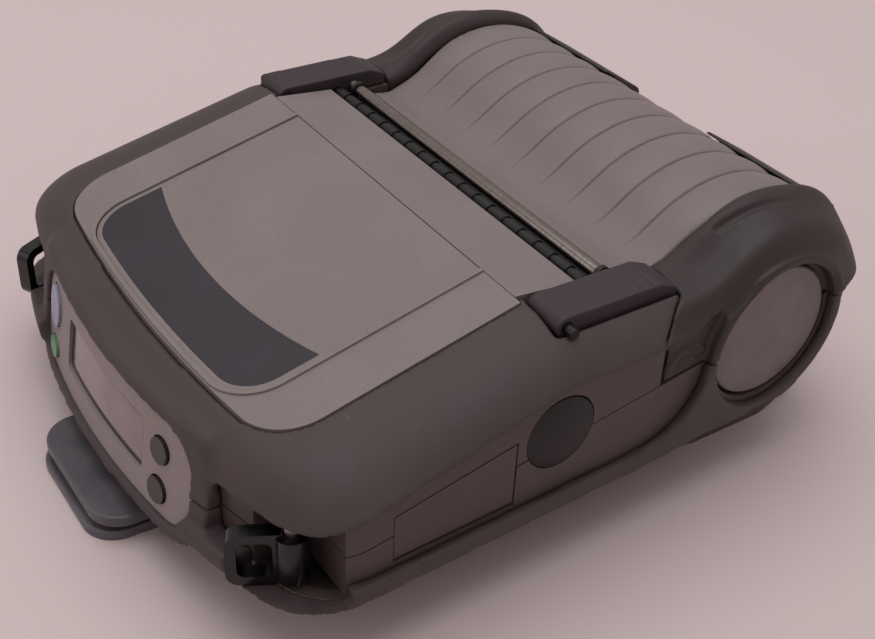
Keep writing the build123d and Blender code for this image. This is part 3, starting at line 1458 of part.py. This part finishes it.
export_step(clip_hinge_pin.part, "parts/clip_hinge_pin.step")

# Discs that hold the roll of labels, sliding on a groove in the bay's floor
with BuildPart() as media_disc_right:
    add(rod_along_x(bay_half - 3.2, bay_half - 0.6, roll_y, roll_z, media_radius))
    add(rod_along_x(bay_half - 7, bay_half - 3.2, roll_y, roll_z, media_hub))
    with Locations((bay_half - 1.9, roll_y, bay_floor + 0.4)):
        Box(2.6, 12, roll_z - bay_floor, align=(Align.CENTER, Align.CENTER, Align.MIN))
    with Locations((bay_half - 6.6, roll_y, bay_floor + 0.3)):
        Box(12, 9, 2, align=(Align.CENTER, Align.CENTER, Align.MIN))
    with Locations((bay_half - 6.6, roll_y, key_floor + 0.2)):
        Box(12, key_wide - 0.4, 3, align=(Align.CENTER, Align.CENTER, Align.MIN))
media_disc_right.part.label = "media_disc_right"
export_step(media_disc_right.part, "parts/media_disc_right.step")
with BuildPart() as media_disc_left:
    mirror(media_disc_right.part, about=Plane.YZ)
media_disc_left.part.label = "media_disc_left"
export_step(media_disc_left.part, "parts/media_disc_left.step")

# Four screws, driven from below, hold the two halves of the case
with BuildPart() as case_screws:
    with Locations([(x, y, screw_base) for x, y in screw_places]):
        Cylinder(screw_radius, screw_top - 0.5 - screw_base, align=(Align.CENTER, Align.CENTER, Align.MIN))
        Cylinder(screw_head, 3, align=(Align.CENTER, Align.CENTER, Align.MIN))
case_screws.part.label = "case_screws"
export_step(case_screws.part, "parts/case_screws.step")
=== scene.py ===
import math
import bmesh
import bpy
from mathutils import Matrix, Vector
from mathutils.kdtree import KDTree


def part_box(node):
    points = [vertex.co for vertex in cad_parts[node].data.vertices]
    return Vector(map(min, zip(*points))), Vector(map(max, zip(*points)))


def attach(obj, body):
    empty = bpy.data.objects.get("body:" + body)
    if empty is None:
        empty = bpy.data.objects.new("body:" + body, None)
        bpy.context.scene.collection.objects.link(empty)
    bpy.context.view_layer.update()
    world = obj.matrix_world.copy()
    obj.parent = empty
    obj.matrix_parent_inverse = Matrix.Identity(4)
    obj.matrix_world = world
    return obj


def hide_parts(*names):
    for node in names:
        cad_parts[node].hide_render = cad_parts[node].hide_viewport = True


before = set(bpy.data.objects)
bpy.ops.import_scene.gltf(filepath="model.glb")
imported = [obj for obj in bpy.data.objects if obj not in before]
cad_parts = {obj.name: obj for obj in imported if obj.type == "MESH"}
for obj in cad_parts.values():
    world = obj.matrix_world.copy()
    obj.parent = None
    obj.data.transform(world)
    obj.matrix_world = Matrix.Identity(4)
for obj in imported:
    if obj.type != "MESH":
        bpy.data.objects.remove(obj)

# %% [markdown]
# # A portable label printer
# The solid model is already loaded: every moulding, button, gear and roller is an object in metres, in
# its final place. This script gives each of them its finish, adds the small raised details that the solid
# model leaves out, paints some shade and light into the finishes, and sets the light, the floor and the
# camera of the photograph.

MM = 0.001
scene = bpy.context.scene
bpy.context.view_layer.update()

# %% [markdown]
# ## Camera
# The photograph looks down on the printer's right front corner. The place, the direction and the focal
# length were worked out from points whose place on the printer is known. A camera looks along its own
# minus Z axis, so the three columns of its turn are right, up, and backwards.

# %% Camera at the photograph's place
camera_place = (0.2325, -0.1535, 0.2175)
camera_right = Vector((0.5501, 0.8341, 0.0414))
camera_down = Vector((0.5044, -0.2924, -0.8125))
camera_ahead = Vector((-0.6655, 0.4678, -0.5815))
camera_data = bpy.data.cameras.new("camera")
camera_data.sensor_width = 36.0
camera_data.lens = 55.09
camera_data.clip_start = 0.01
camera = bpy.data.objects.new("camera", camera_data)
scene.collection.objects.link(camera)
turn = Matrix((camera_right, -camera_down, -camera_ahead)).transposed()
camera.matrix_world = Matrix.Translation(camera_place) @ turn.to_4x4()
scene.camera = camera
print("camera at", [round(value, 3) for value in camera.location])

# %% [markdown]
# ## Floor and light
# The printer lies on a plain, faintly pink sheet that runs up behind it without a line. A big disc for
# the floor and an even world do that. One large soft lamp overhead, a little to the left, stands for the
# room's light: the top is bright, the right side falls into shade and the shadow stays near the case. A
# weak lamp in front opens that shade.

# %% Pale floor, world and lamps
def linear(red, green, blue):
    """A colour read off a picture, 0 to 255, as the linear values that a shader takes."""
    return tuple(
        (v / 255 / 12.92 if v <= 10 else ((v / 255 + 0.055) / 1.055) ** 2.4) for v in (red, green, blue)
    ) + (1.0,)


floor_radius = 3.0
floor_mesh = bpy.data.meshes.new("floor")
form = bmesh.new()
bmesh.ops.create_circle(form, cap_ends=True, radius=floor_radius, segments=96)
form.to_mesh(floor_mesh)
form.free()
floor = bpy.data.objects.new("floor", floor_mesh)
scene.collection.objects.link(floor)

floor_paint = bpy.data.materials.new("floor_sheet")
floor_paint.use_nodes = True
shader = floor_paint.node_tree.nodes["Principled BSDF"]
shader.inputs["Base Color"].default_value = linear(216, 200, 200)
shader.inputs["Roughness"].default_value = 0.62
floor_mesh.materials.append(floor_paint)

world = bpy.data.worlds.new("studio")
scene.world = world
world.use_nodes = True
sky = world.node_tree.nodes["Background"]
sky.inputs["Color"].default_value = linear(246, 234, 234)
sky.inputs["Strength"].default_value = 0.5


printer_middle = Vector((0, 0, 0.03))


def soft_lamp(name, place, size, power):
    """A square lamp that looks at the printer's middle."""
    lamp = bpy.data.lights.new(name, "AREA")
    lamp.shape = "SQUARE"
    lamp.size = size
    lamp.energy = power
    lamp_object = bpy.data.objects.new(name, lamp)
    lamp_object.location = place
    look = printer_middle - Vector(place)
    lamp_object.rotation_euler = look.to_track_quat("-Z", "Y").to_euler()
    scene.collection.objects.link(lamp_object)


soft_lamp("ceiling_light", place=(-0.1, 0.02, 1.1), size=1.15, power=6.3)
soft_lamp("front_light", place=(-0.5, -0.9, 0.5), size=0.5, power=0.8)
scene.view_settings.view_transform = "Standard"

# %% [markdown]
# ## How a finish is built
# Moulded plastic is never one flat colour. A finish here has three layers: a base colour that drifts a
# little between two tones, a fine grain that only tilts the surface, and a gloss that varies where hands
# have polished it. All of them read the object's own coordinates in metres, so that a pattern has the
# same scale on every piece and stays on it when it moves.

# %% Helpers for finishes
class Finish:
    """A material with its principled shader and the object's coordinates at hand."""

    def __init__(self, name, roughness=0.5, metallic=0.0):
        self.material = bpy.data.materials.new(name)
        self.material.use_nodes = True
        self.tree = self.material.node_tree
        self.shader = self.tree.nodes["Principled BSDF"]
        self.shader.inputs["Roughness"].default_value = roughness
        self.shader.inputs["Metallic"].default_value = metallic
        self.place = self.tree.nodes.new("ShaderNodeTexCoord").outputs["Object"]
        self.colour = None
        self.bump = None

    def noise(self, size_mm, detail=3.0, rough=0.55, stretch=(1, 1, 1)):
        """Cloudy noise whose lumps are about size_mm wide, and longer where stretch is small."""
        at = self.tree.nodes.new("ShaderNodeMapping")
        at.inputs["Scale"].default_value = stretch
        self.tree.links.new(self.place, at.inputs["Vector"])
        cloud = self.tree.nodes.new("ShaderNodeTexNoise")
        cloud.inputs["Scale"].default_value = 1.0 / (size_mm * MM)
        cloud.inputs["Detail"].default_value = detail
        cloud.inputs["Roughness"].default_value = rough
        self.tree.links.new(at.outputs["Vector"], cloud.inputs["Vector"])
        return cloud.outputs["Fac"]

    def spread(self, value, low, high, to_low=0.0, to_high=1.0):
        """Maps a value's range onto another one, clamped."""
        node = self.tree.nodes.new("ShaderNodeMapRange")
        node.interpolation_type = "SMOOTHSTEP"
        node.inputs["From Min"].default_value = low
        node.inputs["From Max"].default_value = high
        node.inputs["To Min"].default_value = to_low
        node.inputs["To Max"].default_value = to_high
        self.tree.links.new(value, node.inputs["Value"])
        return node.outputs["Result"]

    def maths(self, operation, a, b):
        """One sum on two values; either may be a plain number."""
        node = self.tree.nodes.new("ShaderNodeMath")
        node.operation = operation
        for slot, value in zip(node.inputs, (a, b)):
            if isinstance(value, (int, float)):
                slot.default_value = value
            else:
                self.tree.links.new(value, slot)
        return node.outputs["Value"]

    def axis(self, name):
        """One of the object's own coordinates, in metres."""
        node = self.tree.nodes.new("ShaderNodeSeparateXYZ")
        self.tree.links.new(self.place, node.inputs["Vector"])
        return node.outputs[name]

    def base(self, colour):
        """The colour that everything else is laid over."""
        node = self.tree.nodes.new("ShaderNodeRGB")
        node.outputs[0].default_value = linear(*colour)
        self.colour = node.outputs[0]

    def over(self, colour, amount):
        """Lays a colour over the surface where amount is above nought."""
        node = self.tree.nodes.new("ShaderNodeMix")
        node.data_type = "RGBA"
        self.tree.links.new(amount, node.inputs["Factor"])
        self.tree.links.new(self.colour, node.inputs["A"])
        node.inputs["B"].default_value = linear(*colour)
        self.colour = node.outputs["Result"]
        self.tree.links.new(self.colour, self.shader.inputs["Base Color"])

    def grain(self, height, depth_mm, strength=1.0):
        """Tilts the surface after a height pattern, on top of what is there already."""
        node = self.tree.nodes.new("ShaderNodeBump")
        node.inputs["Strength"].default_value = strength
        node.inputs["Distance"].default_value = depth_mm * MM
        self.tree.links.new(height, node.inputs["Height"])
        if self.bump is not None:
            self.tree.links.new(self.bump, node.inputs["Normal"])
        self.bump = node.outputs["Normal"]
        self.tree.links.new(self.bump, self.shader.inputs["Normal"])

    def gloss(self, value, low, high):
        """Lets the roughness wander between two values."""
        self.tree.links.new(self.spread(value, 0.3, 0.7, low, high), self.shader.inputs["Roughness"])


def paint(finish, slot, *nodes):
    """Gives a finish to solid-model nodes, in every material slot that they have."""
    for name in nodes:
        piece = eased.get(name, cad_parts[name])
        piece.data.materials.clear()
        piece.data.materials.append(finish.material)
    print(f"{finish.material.name}: {len(nodes)} nodes")


# %% [markdown]
# ## Rounding the mouldings
# The solid model's bumper, cheeks and cover meet in crisp edges, while rubber and moulded plastic have
# soft ones, and the brow over the display flows into the shoulder. A bevel can't find its way round such
# lofted edges. So each of these pieces is copied and merged, remeshed in even voxels, and then eased with
# smooth_vert: a few passes round every edge, and more where a form should melt into the next one. Easing
# only takes material off outer edges. Fine lines are cut or raised last, so that they stay crisp.

# %% A helper that rounds a copy of a solid piece
def ramp(value, start, end):
    """0 before start, 1 after end, straight between them."""
    return min(1.0, max(0.0, (value - start) / (end - start)))


def soften(form, points):
    """One pass that draws points halfway to the middle of their neighbours."""
    bmesh.ops.smooth_vert(form, verts=points, factor=0.5, use_axis_x=True, use_axis_y=True, use_axis_z=True)


def eased_copy(node, body, voxel_mm, passes, melt=None, melt_passes=0, reshape=None, engrave=None):
    """A remeshed copy of a node with rounded edges, in the node's place.

    melt tells how far a point takes part in the extra passes, reshape works on the form before it is
    eased, and engrave after.
    """
    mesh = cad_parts[node].data.copy()
    form = bmesh.new()
    form.from_mesh(mesh)
    bmesh.ops.remove_doubles(form, verts=form.verts, dist=0.001 * MM)
    form.to_mesh(mesh)
    form.free()
    raw = bpy.data.objects.new(node + "_raw", mesh)
    scene.collection.objects.link(raw)
    even = raw.modifiers.new("even_mesh", "REMESH")
    even.mode = "VOXEL"
    even.voxel_size = voxel_mm * MM
    bpy.context.view_layer.update()
    voxels = bpy.data.meshes.new_from_object(raw.evaluated_get(bpy.context.evaluated_depsgraph_get()))
    bpy.data.objects.remove(raw)
    form = bmesh.new()
    form.from_mesh(voxels)
    if reshape:
        reshape(form)
    for _ in range(passes):
        soften(form, form.verts)
    if melt:
        soft = [(melt(v.co / MM), v) for v in form.verts]
        for done in range(melt_passes):
            soften(form, [v for amount, v in soft if amount > done / melt_passes])
    if engrave:
        form.normal_update()
        engrave(form)
    for face in form.faces:
        face.smooth = True
    form.to_mesh(voxels)
    form.free()
    piece = bpy.data.objects.new(node + "_eased", voxels)
    scene.collection.objects.link(piece)
    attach(piece, body)
    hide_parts(node)
    print(f"{piece.name}: {len(voxels.polygons)} faces")
    return piece


# %% [markdown]
# ## Where each form is eased and cut
# The brow's flat ledge has to disappear into the shoulder, so the corners over the display get many
# more passes than the rest. On the cover the foot of each band fades out on the apron in the same way.
# Between the bands a narrow V is pressed in. The cheeks get the sunk line under their crest, a bead round
# the end disc and two small arches. All sizes here are millimetres.

# %% Reliefs of the bumper, the cover and the cheeks
roll_y = 58.5
roll_z = 32.0
hump_half = 54.0
hump_bands = 10
band_wide = 2 * hump_half / hump_bands
band_base = 33.72
crown_share = 0.75
crease_half = 0.5
crease_deep = 0.42
disc_y = 54.4
disc_z = 38.6


def brow_corner(at):
    """How far a point of the upper bumper lies in the brow's top and its two ends."""
    front = ramp(-at.y, 67, 71)
    return front * max(ramp(at.z, 38.6, 39.8), ramp(abs(at.x), 41, 44) * ramp(at.z, 30, 34))


def band_foot(at):
    """How far a point of the cover lies in front of the bands, on the apron."""
    return ramp(-at.y, -47, -36) * ramp(at.z, 50, 53)


def flatter_bands(form):
    """Lowers the crown of the cover's bands a little, because remeshing leaves it too full."""
    roll = Vector((0, roll_y, roll_z)) * MM
    for v in form.verts:
        arm = Vector((0, v.co.y - roll.y, v.co.z - roll.z))
        if arm.length > 33.0 * MM and abs(v.co.x) < (hump_half - 0.1) * MM:
            wanted = band_base * MM + (arm.length - band_base * MM) * crown_share
            v.co += arm.normalized() * min(0.0, wanted - arm.length)


def creases(form):
    """Cuts three rows of points along each crease and presses the middle one in, as a narrow V."""
    last = hump_bands // 2 - 1
    for line in range(-last, last + 1):
        for row in (-crease_half, 0, crease_half):
            near = [f for f in form.faces if abs(f.calc_center_median().x / MM - line * band_wide) < 2]
            edges = {e for f in near for e in f.edges}
            points = {v for f in near for v in f.verts}
            bmesh.ops.bisect_plane(form, geom=[*near, *edges, *points], dist=0.01 * MM,
                                   plane_co=((line * band_wide + row) * MM, 0, 0), plane_no=(1, 0, 0))
    form.normal_update()
    for v in form.verts:
        line = round(v.co.x / MM / band_wide)
        off = abs(v.co.x / MM - line * band_wide)
        out = Vector((0, v.co.y - roll_y * MM, v.co.z - roll_z * MM)).normalized()
        if abs(line) <= last and off < crease_half and v.normal.dot(out) > 0.3:
            v.co -= out * (1 - off / crease_half) * crease_deep * MM * ramp(v.co.y / MM, 28, 38)


def press(form, path, half_wide, high):
    """Raises the surface along a path of points as a rounded bead; a negative height sinks it."""
    line = KDTree(len(path))
    for number, point in enumerate(path):
        line.insert(point, number)
    line.balance()
    moves = []
    for v in form.verts:
        gap = line.find(v.co / MM)[2]
        if gap < half_wide:
            moves.append((v, v.normal * high * MM * (0.5 + 0.5 * math.cos(math.pi * gap / half_wide))))
    for v, move in moves:
        v.co += move


def arc_path(middle, radius, start, end, across, across_end=None):
    """Points on an arc that faces sideways, between two angles in degrees from +Y."""
    steps = max(8, int(abs(end - start) * radius / 15))
    across_end = across if across_end is None else across_end
    path = []
    for step in range(steps + 1):
        share = step / steps
        angle = math.radians(start + (end - start) * share)
        path.append(Vector((
            across + (across_end - across) * share,
            middle[0] + radius * math.cos(angle),
            middle[1] + radius * math.sin(angle),
        )))
    return path


def cheek_relief(side):
    """The cheek's sunk line under its crest, its two small arches and the bead round its disc."""
    roll = (roll_y, roll_z)
    arch = (27.0, 39.5)
    disc = (disc_y, disc_z)

    def relief(form):
        press(form, arc_path(roll, 35.8, 116, 72, side * 59.3, side * 62.5), half_wide=1.5, high=-0.7)
        press(form, arc_path(arch, 5.8, 175, 30, side * 71.3), half_wide=1.1, high=0.55)
        press(form, arc_path(arch, 2.5, 170, 20, side * 71.3), half_wide=1.0, high=0.5)
        press(form, arc_path(disc, 20.6, 122, 20, side * 72.4), half_wide=1.2, high=0.4)

    return relief


# %% [markdown]
# ## The rounded pieces
# The voxels are as fine as each form needs: the arms and the tabs are small, and the bumper's lip is thin.

# %% Bumpers, cheeks, tabs, arms and the ribbed cover
eased = {
    "upper_bumper": eased_copy("upper_bumper", "housing", 0.5, 6, brow_corner, 50),
    "lower_bumper": eased_copy("lower_bumper", "housing", 0.6, 4),
}
for name, side in (("cover_cheek_right", 1), ("cover_cheek_left", -1)):
    eased[name] = eased_copy(name, "media_cover", 0.45, 6, engrave=cheek_relief(side))
for name in ("hinge_tab_right", "hinge_tab_left"):
    eased[name] = eased_copy(name, "media_cover", 0.4, 6)
for name in ("bail_arm_right", "bail_arm_left"):
    eased[name] = eased_copy(name, "bail", 0.25, 5)
eased["cover_shell"] = eased_copy("cover_shell", "media_cover", 0.6, 2, band_foot, 60, flatter_bands,
                                  creases)

# %% [markdown]
# ## Spark-eroded plastic
# The top panel, the ribbed cover and the side walls are the same warm light-grey plastic. Its mould was
# spark-eroded, which leaves an even, sandy grain about half a millimetre wide. The colour hardly moves,
# with a faint dusty bloom. A darker copy paints shade on the side walls, and a lighter copy paints light on
# the front bezel.

# %% Light panels, side walls with painted shade and the front with painted light
def moulded_plastic(name, colour, dust, grain_mm=0.55, roughness=(0.46, 0.6)):
    """Light plastic with a sandy grain and a bloom of dust."""
    finish = Finish(name)
    finish.base(colour)
    drift = finish.noise(28, detail=4)
    finish.over(dust, finish.maths("MULTIPLY", finish.spread(drift, 0.42, 0.75), 0.35))
    speck = finish.noise(grain_mm * 1.3, detail=2, rough=0.6)
    darker = tuple(v * 0.86 for v in colour)
    finish.over(darker, finish.maths("MULTIPLY", finish.spread(speck, 0.52, 0.74), 0.4))
    finish.gloss(drift, roughness[0], roughness[1])
    finish.grain(finish.noise(grain_mm, detail=2), 0.05)
    finish.grain(finish.noise(9, detail=2), 0.04, 0.5)
    return finish


light_panel = moulded_plastic("light_grey_plastic", (129, 118, 117), (146, 136, 134))
# Painted shade: a darker copy of the light-grey plastic for the side walls, which face away from the light.
wall_painted_shade = moulded_plastic("wall_plastic_painted_shade", (76, 65, 63), (91, 79, 77), grain_mm=0.7)
# Painted light: a lighter copy of the light-grey plastic for the front bezel, standing in for the light on
# the front face.
front_plastic_painted_light = moulded_plastic("front_plastic_painted_light", (142, 131, 129), (154, 143, 141), grain_mm=0.4)
paint(light_panel, "light_panel", "top_panel", "insert_panel", "printhead_cover")
paint(wall_painted_shade, "side_panel", "upper_housing", "lower_housing", "port_cover")
paint(front_plastic_painted_light, "side_panel", "front_bezel")

# %% [markdown]
# ## Creases of the cover
# The cover's ten bands meet in thin creases. They sit at even steps across
# the printer, so the distance to the nearest step lays painted shade in the pressed grooves, which fades on
# the apron.

# %% The cover's plastic, with painted shade in its creases
ribbed = moulded_plastic("ribbed_cover_plastic", (126, 115, 113), (142, 132, 129))
steps = ribbed.maths("DIVIDE", ribbed.axis("X"), band_wide * MM)
off_step = ribbed.maths("ABSOLUTE", ribbed.maths("SUBTRACT", steps, ribbed.maths("ROUND", steps, 0)), 0)
on_band = ribbed.spread(ribbed.axis("Y"), 28 * MM, 38 * MM)
inside = ribbed.spread(ribbed.maths("ABSOLUTE", ribbed.axis("X"), 0), 50 * MM, 50.5 * MM, 1, 0)
crease = ribbed.maths("MULTIPLY", ribbed.spread(off_step, 0.008, 0.04, 1, 0), on_band)
crease = ribbed.maths("MULTIPLY", crease, inside)
# Painted shade: the creases are darkened along the grooves.
ribbed.over((72, 62, 61), ribbed.maths("MULTIPLY", crease, 0.8))
paint(ribbed, "light_panel", "cover_shell")

# %% [markdown]
# ## Overmoulded rubber
# The bumper that wraps the case, the cheeks of the cover and the peeler arms are a soft dark grey rubber.
# It is matt, takes up dust in blotches, and shows short pale scuffs where it has rubbed along
# other things. The scuffs are noise stretched into streaks, and only its highest tips are used.

# %% Dark rubber
def overmoulded_rubber(name, colour, dusty, scuffed, scuffs=0.3):
    """Matt rubber with dusty blotches and pale scuffs."""
    finish = Finish(name)
    finish.base(colour)
    blotch = finish.noise(17, detail=5, rough=0.62)
    finish.over(dusty, finish.maths("MULTIPLY", finish.spread(blotch, 0.4, 0.72), 0.55))
    streak = finish.noise(7, detail=6, rough=0.7, stretch=(0.35, 1.0, 2.6))
    where = finish.spread(finish.noise(34, detail=2), 0.5, 0.66)
    tips = finish.maths("MULTIPLY", finish.spread(streak, 0.63, 0.75), where)
    finish.over(scuffed, finish.maths("MULTIPLY", tips, scuffs))
    finish.gloss(blotch, 0.5, 0.68)
    finish.grain(finish.noise(0.5, detail=2), 0.045)
    finish.grain(finish.noise(5, detail=3), 0.05, 0.5)
    return finish


rubber = overmoulded_rubber("dark_grey_rubber", (64, 53, 54), (82, 69, 70), (146, 134, 131), 0.4)
paint(rubber, "dark_rubber", "upper_bumper", "lower_bumper")
cheek_rubber = overmoulded_rubber("cheek_rubber", (49, 38, 38), (61, 49, 49), (120, 110, 108), 0.35)
paint(cheek_rubber, "dark_rubber", "cover_cheek_right", "cover_cheek_left", "hinge_tab_right",
      "hinge_tab_left")
arm_rubber = overmoulded_rubber("arm_rubber", (51, 40, 44), (63, 51, 56), (124, 114, 112), 0.35)
paint(arm_rubber, "dark_rubber", "bail_arm_right", "bail_arm_left")
button_rubber = overmoulded_rubber("button_rubber", (31, 23, 25), (40, 31, 33), (96, 86, 84), 0.3)
paint(button_rubber, "dark_rubber", "release_button")

# %% [markdown]
# ## Small finishes
# The other pieces have smoother surfaces: the dark inlay, the black polished eyelets and slot, the clip's
# slate nylon, and the coloured keys. Each keeps a little drift of colour and gloss, fine for its size.

# %% Smooth mouldings
def smooth_moulding(name, colour, other, roughness=(0.3, 0.45), drift_mm=8, grain_mm=0.3, grain_depth=0.01):
    """Smooth plastic that wanders between two close colours."""
    finish = Finish(name)
    finish.base(colour)
    drift = finish.noise(drift_mm, detail=4)
    finish.over(other, finish.spread(drift, 0.4, 0.7))
    finish.gloss(drift, roughness[0], roughness[1])
    finish.grain(finish.noise(grain_mm, detail=2), grain_depth)
    return finish


inlay_dark = smooth_moulding("inlay_slate", (38, 34, 42), (47, 42, 50), (0.46, 0.6), 14)
eyelet_gloss = smooth_moulding("polished_black_nylon", (9, 7, 8), (14, 11, 12), (0.2, 0.34), 5)
black_plastic = smooth_moulding("black_plastic", (15, 12, 14), (22, 18, 20), (0.42, 0.58), 8)
clip_nylon = smooth_moulding("slate_nylon", (80, 77, 84), (92, 88, 94), (0.3, 0.45), 12)
key_grey = smooth_moulding("key_grey", (32, 26, 26), (42, 35, 34), (0.12, 0.24), 3)
key_blue = smooth_moulding("key_blue", (142, 148, 166), (160, 166, 182), (0.3, 0.42), 3)
key_green = smooth_moulding("key_green", (84, 132, 92), (102, 148, 106), (0.3, 0.42), 2)
roller_black = smooth_moulding("roller_rubber", (9, 8, 9), (14, 12, 13), (0.5, 0.62), 6, 0.2)
gear_white = smooth_moulding("gear_acetal", (214, 210, 200), (226, 222, 214), (0.34, 0.46), 3)
head_glaze = smooth_moulding("head_ceramic", (150, 120, 96), (168, 138, 112), (0.12, 0.22), 2)
disc_frost = smooth_moulding("smoked_disc", (104, 93, 94), (120, 108, 108), (0.26, 0.5), 11, 0.25)
media_grey = smooth_moulding("media_disc_grey", (64, 58, 60), (76, 69, 71), (0.4, 0.52), 9)
battery_shell = smooth_moulding("battery_shell", (52, 48, 50), (62, 58, 60), (0.44, 0.6), 10, 0.5, 0.03)
paint(inlay_dark, "crescent", "crescent_inlay")
paint(eyelet_gloss, "eyelet_black", "strap_eyelet_right", "strap_eyelet_left")
paint(black_plastic, "black_plastic", "slot_guide", "gear_plate", "roller_carrier",
      "data_port", "power_port", "bail_bar", "bail_pins")
paint(clip_nylon, "black_plastic", "belt_clip", "clip_jaw")
paint(battery_shell, "black_plastic", "battery_pack")
paint(key_grey, "button_grey", "menu_button_upper", "menu_button_lower")
paint(key_blue, "power_blue", "power_button")
paint(key_green, "feed_green", "feed_button")
paint(roller_black, "roller_rubber", "platen_roller", "bail_roller")
paint(gear_white, "gear_plastic", "platen_gear", "idler_gear", "motor_pinion")
paint(head_glaze, "head_ceramic", "printhead")
paint(disc_frost, "disc", "end_disc_right", "end_disc_left")
paint(media_grey, "black_plastic", "media_disc_right", "media_disc_left")

# %% [markdown]
# ## Metal
# The tear bar, the hinge pins, the screws and the shafts are turned steel; the bail's rod and pins get the
# black plastic. Turning leaves fine rings, so the noise is squeezed along the bar. The print head's back is
# cast aluminium, duller and whiter.

# %% Steel and aluminium
def bare_metal(name, colour, other, roughness, stretch=(1, 1, 1)):
    """Bare metal with fine tool marks."""
    finish = Finish(name, metallic=1.0)
    finish.base(colour)
    marks = finish.noise(0.6, detail=4, stretch=stretch)
    finish.over(other, finish.spread(marks, 0.4, 0.65))
    finish.gloss(marks, roughness[0], roughness[1])
    finish.grain(marks, 0.006)
    return finish


steel = bare_metal("bright_steel", (152, 144, 139), (124, 116, 111), (0.18, 0.32), (3.0, 0.2, 0.2))
aluminium = bare_metal("head_aluminium", (170, 170, 172), (148, 148, 150), (0.34, 0.5))
paint(steel, "bright_steel", "tear_bar", "case_screws", "hinge_pins", "platen_shaft",
      "head_springs", "strap_posts", "clip_hinge_pin", "idler_axle", "drive_motor", "battery_contacts")
paint(aluminium, "head_aluminium", "printhead_heatsink")

# %% [markdown]
# ## Circuit boards and display
# The boards are green solder mask over copper tracks. The tracks are two square-ish wave patterns that
# only lift the colour a little. The display is off: it shows the pale, slightly pink back of a
# reflective glass, with a dark band of painted shade round its edge where it sits sunk in the bezel.

# %% Boards and display
board_green = Finish("solder_mask", roughness=0.35)
board_green.base((22, 58, 40))
tracks = board_green.noise(2.2, detail=0, stretch=(1, 4, 1))
board_green.over((44, 92, 62), board_green.spread(tracks, 0.5, 0.54))
board_green.grain(tracks, 0.02)
paint(board_green, "board", "main_board", "front_board")

display_back = smooth_moulding("display_body", (196, 190, 186), (208, 202, 198), (0.4, 0.5), 5)
paint(display_back, "window", "display_module")
glass = Finish("display_glass", roughness=0.12)
glass.base((128, 106, 106))
glass.over((108, 88, 88), glass.spread(glass.noise(16, detail=2), 0.35, 0.7))
window_low, window_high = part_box("display_window")
# Painted shade: a dark band, this wide in millimetres, along each edge of the window where it sits sunk in
# the bezel.
window_edge_shade = 1.5
frame_blur = 0.2
for name, low, high in (("X", window_low.x, window_high.x), ("Z", window_low.z, window_high.z)):
    middle, half = (low + high) / 2, (high - low) / 2
    away = glass.maths("ABSOLUTE", glass.maths("SUBTRACT", glass.axis(name), middle), 0)
    inner_edge = half - (window_edge_shade + frame_blur) * MM
    outer_edge = half - (window_edge_shade - frame_blur) * MM
    glass.over((34, 28, 30), glass.spread(away, inner_edge, outer_edge))
glass.shader.inputs["Coat Weight"].default_value = 0.5
paint(glass, "window", "display_window")
